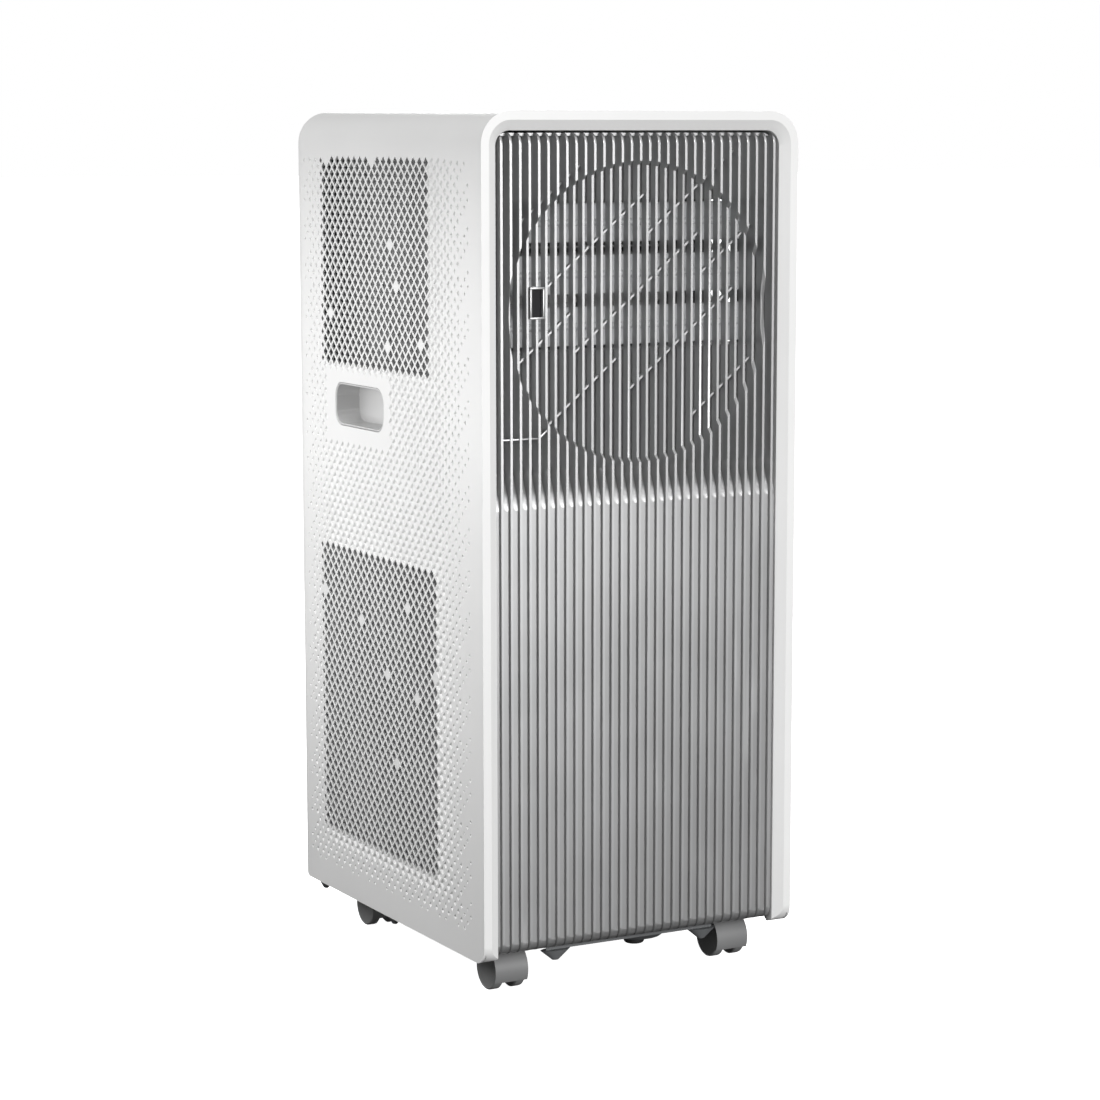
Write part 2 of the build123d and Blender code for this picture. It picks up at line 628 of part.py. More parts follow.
with BuildPart() as louvre_link:
    link_length = LOUVRE_Z[-1] - LOUVRE_Z[0]
    with BuildSketch(Plane.YZ.offset(CRANK_X + 2.4)) as link_outline:
        with Locations((LOUVRE_Y + CRANK, (LOUVRE_Z[0] + LOUVRE_Z[-1]) / 2)):
            SlotCenterToCenter(link_length, 6.0, rotation=90)
        with Locations(*[(LOUVRE_Y + CRANK, z) for z in LOUVRE_Z]):
            Circle(CRANK_PIN_R + FIT, mode=Mode.SUBTRACT)
    extrude(amount=2.2)
louvre_link.part.label = "louvre_link"
export_step(louvre_link.part, "parts/louvre_link.step")

with BuildPart() as louvre_motor:
    motor_face = -CHEEK_X - CHEEK - 1.4
    with BuildSketch(Plane.YZ.offset(motor_face - 18)) as motor_can:
        with Locations((LOUVRE_Y, LOUVRE_Z[0])):
            Circle(14)
    extrude(amount=18)
    with BuildSketch(Plane.YZ.offset(motor_face - 1)) as motor_ears:
        with Locations((LOUVRE_Y, LOUVRE_Z[0])):
            SlotCenterToCenter(35, 7, rotation=90)
    extrude(amount=1)
    box_between(
        (motor_face - 17, motor_face - 3),
        (LOUVRE_Y + 12, LOUVRE_Y + 18),
        (LOUVRE_Z[0] - 7, LOUVRE_Z[0] + 7),
    )
louvre_motor.part.label = "louvre_motor"
export_step(louvre_motor.part, "parts/louvre_motor.step")

# ================================================================ evaporator fan
GUIDE_R = CROSS_R + 9
GUIDE_END = -10.0  # angle at which the rear guide ends
PLATE = 2.5
with BuildPart() as evaporator_fan_casing:
    plate_x = (CROSS_X[0] - 5, CROSS_X[1] + 3)
    for x in plate_x:
        with BuildSketch(Plane.YZ.offset(x)) as end_plate:
            with Locations((CROSS_Y, CROSS_Z)):
                Circle(GUIDE_R + 3)
            with Locations(((CHEEK_BACK + CROSS_Y) / 2, (WINDOW_LOW + WINDOW_HIGH) / 2)):
                Rectangle(CROSS_Y - CHEEK_BACK - 1, WINDOW_HIGH - WINDOW_LOW)
            with Locations((CROSS_Y, CROSS_Z)):
                Circle(9.3, mode=Mode.SUBTRACT)
        extrude(amount=PLATE)
    with BuildSketch(Plane.YZ.offset(plate_x[0])) as rear_guide:
        with BuildLine() as guide_line:
            Line((CHEEK_BACK + 0.5, CROSS_Z - GUIDE_R), (CROSS_Y, CROSS_Z - GUIDE_R))
            CenterArc((CROSS_Y, CROSS_Z), GUIDE_R, -90, 90 + GUIDE_END)
        trace(line_width=2)
    extrude(amount=plate_x[1] - plate_x[0])
    with BuildSketch(Plane.YZ.offset(plate_x[0])) as tongue:
        with BuildLine() as tongue_line:
            Line((CHEEK_BACK + 0.5, WINDOW_HIGH - 1), (CROSS_Y - 36, WINDOW_HIGH - 1))
            Line((CROSS_Y - 36, WINDOW_HIGH - 1), (CROSS_Y - 38, CROSS_Z + 40))
        trace(line_width=2)
    extrude(amount=plate_x[1] - plate_x[0])
evaporator_fan_casing.part.label = "evaporator_fan_casing"
export_step(evaporator_fan_casing.part, "parts/evaporator_fan_casing.step")

with BuildPart() as evaporator_fan_wheel:
    length = CROSS_X[1] - CROSS_X[0]
    for x in (CROSS_X[0], (CROSS_X[0] + CROSS_X[1]) / 2 - 1, CROSS_X[1] - 2):
        with BuildSketch(Plane.YZ.offset(x)) as disc:
            with Locations((CROSS_Y, CROSS_Z)):
                Circle(CROSS_R)
        extrude(amount=2)
    with BuildSketch(Plane.YZ.offset(CROSS_X[0])) as vanes:
        with Locations((CROSS_Y, CROSS_Z)):
            with PolarLocations(CROSS_R - 7, 30):
                Rectangle(11, 1.4, rotation=35)
    extrude(amount=length)
    with BuildSketch(Plane.YZ.offset(CROSS_X[0] - 9)) as cross_shaft:
        with Locations((CROSS_Y, CROSS_Z)):
            Circle(SHAFT_R)
    extrude(amount=length + 9 + 16)
evaporator_fan_wheel.part.label = "evaporator_fan_wheel"
export_step(evaporator_fan_wheel.part, "parts/evaporator_fan_wheel.step")

with BuildPart() as evaporator_fan_bearing:
    with BuildSketch(Plane.YZ.offset(CROSS_X[0] - 8)) as bush:
        with Locations((CROSS_Y, CROSS_Z)):
            Circle(9.2)
            Circle(SHAFT_R + FIT, mode=Mode.SUBTRACT)
    extrude(amount=6)
evaporator_fan_bearing.part.label = "evaporator_fan_bearing"
export_step(evaporator_fan_bearing.part, "parts/evaporator_fan_bearing.step")

with BuildPart() as evaporator_fan_motor:
    with BuildSketch(Plane.YZ.offset(plate_x[1] + PLATE + 0.5)) as fan_motor_body:
        with Locations((CROSS_Y, CROSS_Z)):
            Circle(33)
    extrude(amount=32)
    fillet(evaporator_fan_motor.edges().filter_by(GeomType.CIRCLE), 5)
    with BuildSketch(Plane.YZ.offset(plate_x[1])) as motor_bore:
        with Locations((CROSS_Y, CROSS_Z)):
            Circle(SHAFT_R + FIT)
    extrude(amount=20, mode=Mode.SUBTRACT)
evaporator_fan_motor.part.label = "evaporator_fan_motor"
export_step(evaporator_fan_motor.part, "parts/evaporator_fan_motor.step")


def coil_block(x, y, z, pitch):
    """A finned heat exchanger block with slots between its fins on both faces."""
    box_between(x, y, z)
    slots = int((x[1] - x[0] - 8) / pitch)
    slot_x = [(x[0] + x[1]) / 2 + (i - (slots - 1) / 2) * pitch for i in range(slots)]
    slot_depth = (y[1] - y[0]) * 0.35
    for face in (y[0], y[1] - slot_depth):
        with BuildSketch(Plane.XY.offset(z[0] + 6)) as fin_slots:
            with Locations(*[(sx, face + slot_depth / 2) for sx in slot_x]):
                Rectangle(pitch - 1.2, slot_depth)
        extrude(fin_slots.sketch, amount=z[1] - z[0] - 12, mode=Mode.SUBTRACT)


EVAP_X = 98.0
EVAP_Y = (20.0, 60.0)
EVAP_Z = (514.0, 698.0)
with BuildPart() as evaporator_coil:
    coil_block((-EVAP_X, EVAP_X), EVAP_Y, EVAP_Z, 6.5)
evaporator_coil.part.label = "evaporator_coil"
export_step(evaporator_coil.part, "parts/evaporator_coil.step")

COND_X = 108.0
COND_Y = (-60.0, -20.0)
COND_Z = (64.0, 312.0)
with BuildPart() as condenser_coil:
    coil_block((-COND_X, COND_X), COND_Y, COND_Z, 6.5)
condenser_coil.part.label = "condenser_coil"
export_step(condenser_coil.part, "parts/condenser_coil.step")

BEND_R = 10.0
BEND_STEP = 42.0
with BuildPart() as return_bends:
    for end_x, coil_y, (low, high) in ((EVAP_X, EVAP_Y, EVAP_Z), (COND_X, COND_Y, COND_Z)):
        count = int((high - low - 20) / BEND_STEP)
        heights = [(low + high) / 2 + (i - (count - 1) / 2) * BEND_STEP for i in range(count)]
        for row in (coil_y[0] + 10, coil_y[1] - 10):
            for height in heights:
                for side in (-1, 1):
                    face = side * end_x
                    with BuildSketch(Plane.YZ.offset(face)) as bend_end:
                        with Locations((row, height - BEND_R)):
                            Circle(3.2)
                    revolve(axis=Axis((face, row, height), (0, -side, 0)), revolution_arc=180)
return_bends.part.label = "return_bends"
export_step(return_bends.part, "parts/return_bends.step")

with BuildPart() as drip_tray:
    box_between((-118, 118), (-134, 84), (492, 508))
    box_between((-116, 116), (-132, 82), (494, 510), mode=Mode.SUBTRACT)
drip_tray.part.label = "drip_tray"
export_step(drip_tray.part, "parts/drip_tray.step")

# ================================================================ intake filters
FILTER_BORDER = 7.0
for name, side in (("left", -1), ("right", 1)):
    slab_x = sorted((side * FILTER_X[0], side * FILTER_X[1]))
    with BuildPart() as intake_filter:
        box_between(slab_x, FILTER_Y, FILTER_Z)
        cell_y = (FILTER_Y[1] - FILTER_Y[0] - 16 - 2 * FILTER_BORDER) / 5
        cell_z = (FILTER_Z[1] - FILTER_Z[0] - 2 * FILTER_BORDER) / 4
        with BuildSketch(Plane.YZ.offset(slab_x[0])) as cells:
            with Locations(((FILTER_Y[0] + FILTER_Y[1] - 16) / 2, sum(FILTER_Z) / 2)):
                with GridLocations(cell_y, cell_z, 5, 4):
                    Rectangle(cell_y - 3, cell_z - 3)
        extrude(amount=1.6, mode=Mode.SUBTRACT)
        with BuildSketch(Plane.YZ.offset(slab_x[1])) as far_cells:
            with Locations(((FILTER_Y[0] + FILTER_Y[1] - 16) / 2, sum(FILTER_Z) / 2)):
                with GridLocations(cell_y, cell_z, 5, 4):
                    Rectangle(cell_y - 3, cell_z - 3)
        extrude(amount=-1.6, mode=Mode.SUBTRACT)
    intake_filter.part.label = f"{name}_intake_filter"
    export_step(intake_filter.part, f"parts/{name}_intake_filter.step")

with BuildPart() as filter_rails:
    for side in (-1, 1):
        rail_x = sorted((side * (FILTER_X[0] - 2), side * (FILTER_X[1] + 2)))
        groove_x = sorted((side * (FILTER_X[0] - 0.4), side * (FILTER_X[1] + 0.4)))
        for low, high in ((FILTER_Z[0] - 2.5, FILTER_Z[0] + 3.5), (FILTER_Z[1] - 3.5, FILTER_Z[1] + 2.5)):
            box_between(rail_x, (FILTER_Y[0] - 2, BACK - WALL - 1), (low, high))
        box_between(
            groove_x,
            (FILTER_Y[0] - 0.5, BACK),
            (FILTER_Z[0] - 0.4, FILTER_Z[1] + 0.4),
            mode=Mode.SUBTRACT,
        )
filter_rails.part.label = "filter_rails"
export_step(filter_rails.part, "parts/filter_rails.step")

# ================================================================ condenser blower and exhaust
SCROLL_WALL = 2.0
SCROLL_START = 95.0
SCROLL_GROWTH = 30.0
OUTLET_X = (45.0, 112.0)
OUTLET_TOP = 328.0


def scroll_section(extra):
    """Fill the scroll's outline: a spiral that widens into an upright outlet on the right."""
    points = []
    for step in range(13):
        angle = math.radians(60 + 25 * step)
        radius = SCROLL_START + extra + SCROLL_GROWTH * step / 12
        points.append((BLOWER_X + radius * math.cos(angle), BLOWER_Z + radius * math.sin(angle)))
    with BuildLine() as outline:
        curve = Spline(*points)
        right = OUTLET_X[1] + extra
        left = OUTLET_X[0] - extra
        Polyline(curve @ 1, (right, BLOWER_Z + 10), (right, OUTLET_TOP), (left, OUTLET_TOP), curve @ 0)
    make_face(outline.edges())


with BuildPart() as condenser_fan_scroll:
    with BuildSketch(Plane.XZ.offset(-SCROLL_Y[0])) as scroll_outer:
        scroll_section(SCROLL_WALL)
    extrude(amount=-(SCROLL_Y[1] - SCROLL_Y[0]))
    with BuildSketch(Plane.XZ.offset(-SCROLL_Y[0] - SCROLL_WALL)) as scroll_inner:
        scroll_section(0)
    extrude(amount=-(SCROLL_Y[1] - SCROLL_Y[0] - 2 * SCROLL_WALL), mode=Mode.SUBTRACT)
    with BuildSketch(Plane.XZ.offset(-SCROLL_Y[1] + 5)) as inlet:
        with Locations((BLOWER_X, BLOWER_Z)):
            Circle(72)
    extrude(amount=-10, mode=Mode.SUBTRACT)
    box_between(
        OUTLET_X,
        (SCROLL_Y[0] + SCROLL_WALL, SCROLL_Y[1] - SCROLL_WALL),
        (OUTLET_TOP - 5, OUTLET_TOP + 5),
        mode=Mode.SUBTRACT,
    )
condenser_fan_scroll.part.label = "condenser_fan_scroll"
export_step(condenser_fan_scroll.part, "parts/condenser_fan_scroll.step")

HUB_R = 44.0
HUB_FRONT = -150.0
HUB_BACK = -118.0
RING_Y = -96.0
with BuildPart() as condenser_fan_wheel:
    with BuildSketch(Plane.XZ.offset(-HUB_FRONT)) as back_plate:
        with Locations((BLOWER_X, BLOWER_Z)):
            Circle(BLOWER_R)
            Circle(HUB_R - 2, mode=Mode.SUBTRACT)
    extrude(amount=-2)
    with BuildSketch(Plane.XZ.offset(-HUB_FRONT)) as hub_wall:
        with Locations((BLOWER_X, BLOWER_Z)):
            Circle(HUB_R)
            Circle(HUB_R - 2, mode=Mode.SUBTRACT)
    extrude(amount=-(HUB_BACK - HUB_FRONT))
    with BuildSketch(Plane.XZ.offset(-HUB_BACK)) as hub_disc:
        with Locations((BLOWER_X, BLOWER_Z)):
            Circle(HUB_R)
    extrude(amount=-2)
    with BuildSketch(Plane.XZ.offset(-HUB_FRONT)) as blower_vanes:
        with Locations((BLOWER_X, BLOWER_Z)):
            with PolarLocations(BLOWER_R - 9, 36):
                Rectangle(15, 1.5, rotation=40)
    extrude(amount=-(RING_Y - HUB_FRONT))
    with BuildSketch(Plane.XZ.offset(-RING_Y)) as inlet_ring:
        with Locations((BLOWER_X, BLOWER_Z)):
            Circle(BLOWER_R)
            Circle(BLOWER_R - 8, mode=Mode.SUBTRACT)
    extrude(amount=3)
    with BuildSketch(Plane.XZ.offset(-HUB_BACK)) as blower_shaft:
        with Locations((BLOWER_X, BLOWER_Z)):
            Circle(SHAFT_R)
    extrude(amount=20)
condenser_fan_wheel.part.label = "condenser_fan_wheel"
export_step(condenser_fan_wheel.part, "parts/condenser_fan_wheel.step")

with BuildPart() as condenser_fan_motor:
    with BuildSketch(Plane.XZ.offset(-SCROLL_Y[0] - SCROLL_WALL)) as blower_motor_body:
        with Locations((BLOWER_X, BLOWER_Z)):
            Circle(36)
    extrude(amount=-44)
    fillet(condenser_fan_motor.edges().group_by(Axis.Y)[-1], 6)
    with BuildSketch(Plane.XZ.offset(-HUB_BACK + 26)) as blower_motor_bore:
        with Locations((BLOWER_X, BLOWER_Z)):
            Circle(SHAFT_R + FIT)
    extrude(amount=-26, mode=Mode.SUBTRACT)
condenser_fan_motor.part.label = "condenser_fan_motor"
export_step(condenser_fan_motor.part, "parts/condenser_fan_motor.step")

DUCT_X = (OUTLET_X[0] - SCROLL_WALL, OUTLET_X[1] + SCROLL_WALL)
DUCT_Z = (OUTLET_TOP, 441.0)
DUCT_END = 155.0
with BuildPart() as exhaust_duct:
    box_between(DUCT_X, SCROLL_Y, DUCT_Z)
    with BuildSketch(Plane.XZ.offset(-SCROLL_Y[1])) as duct_mouth:
        with Locations((sum(DUCT_X) / 2, sum(DUCT_Z) / 2)):
            RectangleRounded(DUCT_X[1] - DUCT_X[0], DUCT_Z[1] - DUCT_Z[0], 15)
    with BuildSketch(Plane.XZ.offset(-DUCT_END)) as duct_outlet:
        with Locations((COLLAR_X, COLLAR_Z)):
            Circle(COLLAR_R + COLLAR_WALL)
    loft()
    inner_x = (DUCT_X[0] + 2, DUCT_X[1] - 2)
    box_between(inner_x, (SCROLL_Y[0] + 2, SCROLL_Y[1]), (DUCT_Z[0] - 2, DUCT_Z[1] - 2), mode=Mode.SUBTRACT)
    with BuildSketch(Plane.XZ.offset(-SCROLL_Y[1])) as flow_mouth:
        with Locations((sum(DUCT_X) / 2, sum(DUCT_Z) / 2)):
            RectangleRounded(DUCT_X[1] - DUCT_X[0] - 4, DUCT_Z[1] - DUCT_Z[0] - 4, 13)
    with BuildSketch(Plane.XZ.offset(-DUCT_END)) as flow_outlet:
        with Locations((COLLAR_X, COLLAR_Z)):
            Circle(COLLAR_R)
    loft(mode=Mode.SUBTRACT)
exhaust_duct.part.label = "exhaust_duct"
export_step(exhaust_duct.part, "parts/exhaust_duct.step")

with BuildPart() as exhaust_collar:
    with BuildSketch(Plane.XZ.offset(-DUCT_END)) as collar_ring:
        with Locations((COLLAR_X, COLLAR_Z)):
            Circle(COLLAR_R + COLLAR_WALL)
            Circle(COLLAR_R, mode=Mode.SUBTRACT)
    extrude(amount=-(BACK - DUCT_END))
    with BuildSketch(Plane.XZ.offset(-BACK + WALL + 2.3)) as collar_flange:
        with Locations((COLLAR_X, COLLAR_Z)):
            Circle(COLLAR_R + COLLAR_WALL + 6)
            Circle(COLLAR_R, mode=Mode.SUBTRACT)
    extrude(amount=-2)
exhaust_collar.part.label = "exhaust_collar"
export_step(exhaust_collar.part, "parts/exhaust_collar.step")

# ================================================================ compressor and pipework
COMP = (38.0, 75.0)
COMP_R = 52.0
MOUNT_R = 62.0
with BuildPart() as compressor:
    with BuildSketch(Plane.XY.offset(62)) as can:
        with Locations(COMP):
            Circle(COMP_R)
    extrude(amount=178)
    fillet(compressor.edges().group_by(Axis.Z)[-1], 22)
    fillet(compressor.edges().group_by(Axis.Z)[0], 12)
    with BuildSketch(Plane.XY.offset(58)) as feet:
        with Locations(COMP):
            Circle(32)
            with PolarLocations(MOUNT_R / 2, 3, start_angle=90):
                Rectangle(MOUNT_R, 20)
            with PolarLocations(MOUNT_R, 3, start_angle=90):
                Circle(13)
                Circle(4, mode=Mode.SUBTRACT)
    extrude(amount=4.5)
    with BuildSketch(Plane.XY.offset(236)) as terminal_cap:
        with Locations((COMP[0] + 16, COMP[1] - 12)):
            RectangleRounded(30, 24, 5)
    extrude(amount=14)
compressor.part.label = "compressor"
export_step(compressor.part, "parts/compressor.step")

with BuildPart() as compressor_grommets:
    with BuildSketch(Plane.XY.offset(PAN_TOP)) as grommets:
        with Locations(COMP):
            with PolarLocations(MOUNT_R, 3, start_angle=90):
                Circle(10)
                Circle(3, mode=Mode.SUBTRACT)
    extrude(amount=58 - PAN_TOP)
compressor_grommets.part.label = "compressor_grommets"
export_step(compressor_grommets.part, "parts/compressor_grommets.step")

ACCUMULATOR = (-42.0, 75.0)
with BuildPart() as accumulator:
    with BuildSketch(Plane.XY.offset(72)) as flask:
        with Locations(ACCUMULATOR):
            Circle(20)
    extrude(amount=140)
    fillet(accumulator.edges().filter_by(GeomType.CIRCLE), 9)
    box_between((ACCUMULATOR[0] + 17, COMP[0] - COMP_R - 0.05), (ACCUMULATOR[1] - 6, ACCUMULATOR[1] + 6), (150, 153))
accumulator.part.label = "accumulator"
export_step(accumulator.part, "parts/accumulator.step")


def pipe(points, bend, radius):
    """Sweep a round pipe along straight runs joined by bends."""
    with BuildLine() as route:
        FilletPolyline(*points, radius=bend)
    with BuildSketch(Plane(origin=route.line @ 0, z_dir=route.line % 0)) as bore:
        Circle(radius)
    sweep(bore.sketch, path=route.line)


with BuildPart() as suction_pipe:
    pipe(
        [
            (ACCUMULATOR[0], ACCUMULATOR[1], 212),
            (ACCUMULATOR[0], ACCUMULATOR[1], 262),
            (-80, ACCUMULATOR[1], 262),
            (-80, 97, 262),
            (-80, 97, 560),
            (-80, EVAP_Y[1], 560),
        ],
        9,
        4.8,
    )
suction_pipe.part.label = "suction_pipe"
export_step(suction_pipe.part, "parts/suction_pipe.step")

with BuildPart() as discharge_pipe:
    pipe(
        [
            (COMP[0] - 16, COMP[1], 240),
            (COMP[0] - 16, COMP[1], 292),
            (-88, COMP[1], 292),
            (-88, COND_Y[1], 292),
        ],
        14,
        4,
    )
discharge_pipe.part.label = "discharge_pipe"
export_step(discharge_pipe.part, "parts/discharge_pipe.step")

with BuildPart() as liquid_pipe:
    pipe(
        [(-92, COND_Y[1], 120), (-92, 97, 120), (-92, 97, 590), (-92, EVAP_Y[1], 590)],
        12,
        2.2,
    )
liquid_pipe.part.label = "liquid_pipe"
export_step(liquid_pipe.part, "parts/liquid_pipe.step")

# ================================================================ electrics
EBOX_X = (-112.0, -50.0)
EBOX_Y = (112.0, 184.0)
EBOX_Z = (326.0, 456.0)
with BuildPart() as electrical_box:
    box_between(EBOX_X, EBOX_Y, EBOX_Z)
    box_between(
        (EBOX_X[0] + 1.5, EBOX_X[1] - 1.5),
        (EBOX_Y[0] + 1.5, EBOX_Y[1] + 1),
        (EBOX_Z[0] + 1.5, EBOX_Z[1] - 1.5),
        mode=Mode.SUBTRACT,
    )
electrical_box.part.label = "electrical_box"
export_step(electrical_box.part, "parts/electrical_box.step")

with BuildPart() as main_board:
    box_between((EBOX_X[0] + 4, EBOX_X[1] - 4), (122, 123.6), (EBOX_Z[0] + 4, EBOX_Z[1] - 4))
    box_between((-104, -78), (123.6, 140), (400, 430))
    box_between((-74, -60), (123.6, 134), (404, 436))
main_board.part.label = "main_board"
export_step(main_board.part, "parts/main_board.step")

with BuildPart() as run_capacitor:
    with BuildSketch(Plane.XY.offset(EBOX_Z[0] + 6)) as capacitor_can:
        with Locations((-81, 158)):
            Circle(18)
    extrude(amount=60)
    fillet(run_capacitor.edges().filter_by(GeomType.CIRCLE), 2)
run_capacitor.part.label = "run_capacitor"
export_step(run_capacitor.part, "parts/run_capacitor.step")

with BuildPart() as cord_gland:
    with BuildSketch(Plane.XZ.offset(-BACK + 10)) as gland_body:
        with Locations((GLAND_X, GLAND_Z)):
            Circle(GLAND_R)
    extrude(amount=-10)
    with BuildSketch(Plane.XZ.offset(-BACK + 10)) as gland_collar:
        with Locations((GLAND_X, GLAND_Z)):
            Circle(GLAND_R + 3)
    extrude(amount=-7)
    with BuildSketch(Plane.XZ.offset(-BACK)) as cord_hole:
        with Locations((GLAND_X, GLAND_Z)):
            Circle(4.2)
    extrude(amount=12, mode=Mode.SUBTRACT)
cord_gland.part.label = "cord_gland"
export_step(cord_gland.part, "parts/cord_gland.step")

# ================================================================ control panel
BUTTON_SPOTS = [(x, PANEL_Y) for x in BUTTONS.values()]
LENS = (44.0, 20.0)
with BuildPart() as control_panel:
    with BuildSketch(Plane.XY.offset(PANEL_TOP - PANEL_THICK)) as panel_plate:
        with Locations((0, PANEL_Y)):
            RectangleRounded(PANEL_L - 0.6, PANEL_W - 0.6, 7.7)
        with Locations(*BUTTON_SPOTS):
            RectangleRounded(BUTTON_L + 0.8, BUTTON_W + 0.8, 3.4, mode=Mode.SUBTRACT)
        with Locations((0, PANEL_Y)):
            RectangleRounded(LENS[0] + 0.4, LENS[1] + 0.4, 3, mode=Mode.SUBTRACT)
    extrude(amount=PANEL_THICK)
control_panel.part.label = "control_panel"
export_step(control_panel.part, "parts/control_panel.step")

with BuildPart() as display_lens:
    with BuildSketch(Plane.XY.offset(PANEL_TOP - PANEL_THICK)) as lens_outline:
        with Locations((0, PANEL_Y)):
            RectangleRounded(*LENS, 2.8)
    extrude(amount=PANEL_THICK - 0.3)
display_lens.part.label = "display_lens"
export_step(display_lens.part, "parts/display_lens.step")

for name, x in BUTTONS.items():
    with BuildPart() as button:
        with BuildSketch(Plane.XY.offset(PANEL_TOP - PANEL_THICK - 1.0)) as cap:
            with Locations((x, PANEL_Y)):
                RectangleRounded(BUTTON_L, BUTTON_W, 3)
        extrude(amount=PANEL_THICK + 1.0 + 1.2)
        fillet(button.edges().group_by(Axis.Z)[-1], 0.5)
        with BuildSketch(Plane.XY.offset(PANEL_TOP - PANEL_THICK - 2.4)) as flange:
            with Locations((x, PANEL_Y)):
                RectangleRounded(BUTTON_L + 3, BUTTON_W + 3, 4)
        extrude(amount=1.6)
        with BuildSketch(Plane.XY.offset(PANEL_TOP - PANEL_THICK - 5.0)) as stalk:
            with Locations((x, PANEL_Y)):
                Circle(2.5)
        extrude(amount=3)
    button.part.label = f"{name}_button"
    export_step(button.part, f"parts/{name}_button.step")

BOARD_TOP = PANEL_TOP - PANEL_THICK - 9.0
with BuildPart() as key_board:
    with BuildSketch(Plane.XY.offset(BOARD_TOP - 1.6)) as board_outline:
        with Locations((0, PANEL_Y)):
            Rectangle(PANEL_L - 14, PANEL_W - 14)
    extrude(amount=1.6)
    with BuildSketch(Plane.XY.offset(BOARD_TOP)) as switches:
        with Locations(*BUTTON_SPOTS):
            Rectangle(6, 6)
    extrude(amount=2.4)
key_board.part.label = "key_board"
export_step(key_board.part, "parts/key_board.step")
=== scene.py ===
"""Looks of a portable air conditioner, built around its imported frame.

The frame holds every working part. This script gives each part its finish, and replaces the coarse
side walls, intake filters and wheels with detailed ones. New pieces are modelled in millimetres in
the frame's own axes (front towards -Y, up +Z) and scaled to metres as they are finished.
"""

import json
import logging
import math
import random
from collections.abc import Callable
from dataclasses import dataclass
from enum import Enum

import bmesh
import bpy
from mathutils import Matrix, Vector


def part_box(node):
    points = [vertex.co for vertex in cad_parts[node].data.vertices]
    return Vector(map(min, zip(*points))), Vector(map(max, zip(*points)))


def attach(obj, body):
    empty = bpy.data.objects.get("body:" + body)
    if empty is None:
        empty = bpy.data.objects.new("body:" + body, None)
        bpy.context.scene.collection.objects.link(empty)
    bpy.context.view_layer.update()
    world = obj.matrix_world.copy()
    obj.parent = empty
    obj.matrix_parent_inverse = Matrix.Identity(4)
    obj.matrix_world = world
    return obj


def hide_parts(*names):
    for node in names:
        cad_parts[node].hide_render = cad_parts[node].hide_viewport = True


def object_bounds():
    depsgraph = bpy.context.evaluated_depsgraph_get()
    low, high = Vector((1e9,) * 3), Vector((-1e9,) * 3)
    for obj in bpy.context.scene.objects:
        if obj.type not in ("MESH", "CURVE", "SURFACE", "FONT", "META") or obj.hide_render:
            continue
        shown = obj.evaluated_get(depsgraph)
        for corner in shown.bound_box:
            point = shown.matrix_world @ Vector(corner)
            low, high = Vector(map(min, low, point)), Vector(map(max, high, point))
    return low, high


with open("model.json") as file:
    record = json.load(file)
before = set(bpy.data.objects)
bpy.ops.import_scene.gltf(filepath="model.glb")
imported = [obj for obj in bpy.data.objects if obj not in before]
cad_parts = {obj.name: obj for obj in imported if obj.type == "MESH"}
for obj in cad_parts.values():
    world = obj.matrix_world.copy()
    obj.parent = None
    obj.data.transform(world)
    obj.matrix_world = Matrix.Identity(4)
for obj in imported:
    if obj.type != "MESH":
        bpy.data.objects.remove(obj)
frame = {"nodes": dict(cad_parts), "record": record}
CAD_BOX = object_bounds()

log = logging.getLogger("air_conditioner")

MM = 0.001
WELD = 0.01  # vertices closer than this, in millimetres, are one
Colour = tuple[float, float, float]


class Side(Enum):
    """The two sides of the cabinet, each with its sign along X."""

    LEFT = -1
    RIGHT = 1

    @property
    def word(self) -> str:
        """The side's name as it stands in node names."""
        return self.name.lower()


class Corner(Enum):
    """The four corners that stand on a caster."""

    FRONT_LEFT = "front_left"
    FRONT_RIGHT = "front_right"
    REAR_LEFT = "rear_left"
    REAR_RIGHT = "rear_right"


# ---------------------------------------------------------------- shader expressions
class Value:
    """A number that changes over a surface: a node's output with arithmetic on it."""

    def __init__(self, shader: "NodeMaker", socket: bpy.types.NodeSocket) -> None:
        """Keeps the output and the shader that it belongs to.

        Args:
            shader: The shader under construction.
            socket: The output socket.
        """
        self.shader = shader
        self.socket = socket

    def math(self, operation: str, other: "Value | float | None" = None, swap: bool = False) -> "Value":
        """Adds one Math node.

        Args:
            operation: The Math node's operation.
            other: The second operand, if it has one.
            swap: True where the other operand comes first.

        Returns:
            The node's result.
        """
        operands = [self] if other is None else [self, other]
        if swap:
            operands.reverse()
        node = self.shader.node("ShaderNodeMath", {"operation": operation}, dict(enumerate(operands)))
        return Value(self.shader, node.outputs[0])

    def __add__(self, other: "Value | float") -> "Value":
        """Sum."""
        return self.math("ADD", other)

    def __sub__(self, other: "Value | float") -> "Value":
        """Difference."""
        return self.math("SUBTRACT", other)

    def __rsub__(self, other: float) -> "Value":
        """Difference with the number first."""
        return self.math("SUBTRACT", other, swap=True)

    def __mul__(self, other: "Value | float") -> "Value":
        """Product."""
        return self.math("MULTIPLY", other)

    def limited(self) -> "Value":
        """The value kept between 0 and 1."""
        return self.math("MINIMUM", 1.0).math("MAXIMUM", 0.0)

    def ramp(self, low: float, high: float) -> "Value":
        """A smooth rise from 0 at low to 1 at high.

        Args:
            low: The value that gives 0.
            high: The value that gives 1.

        Returns:
            The rise.
        """
        node = self.shader.node(
            "ShaderNodeMapRange",
            {"interpolation_type": "SMOOTHSTEP"},
            {"Value": self, "From Min": low, "From Max": high},
        )
        return Value(self.shader, node.outputs[0])


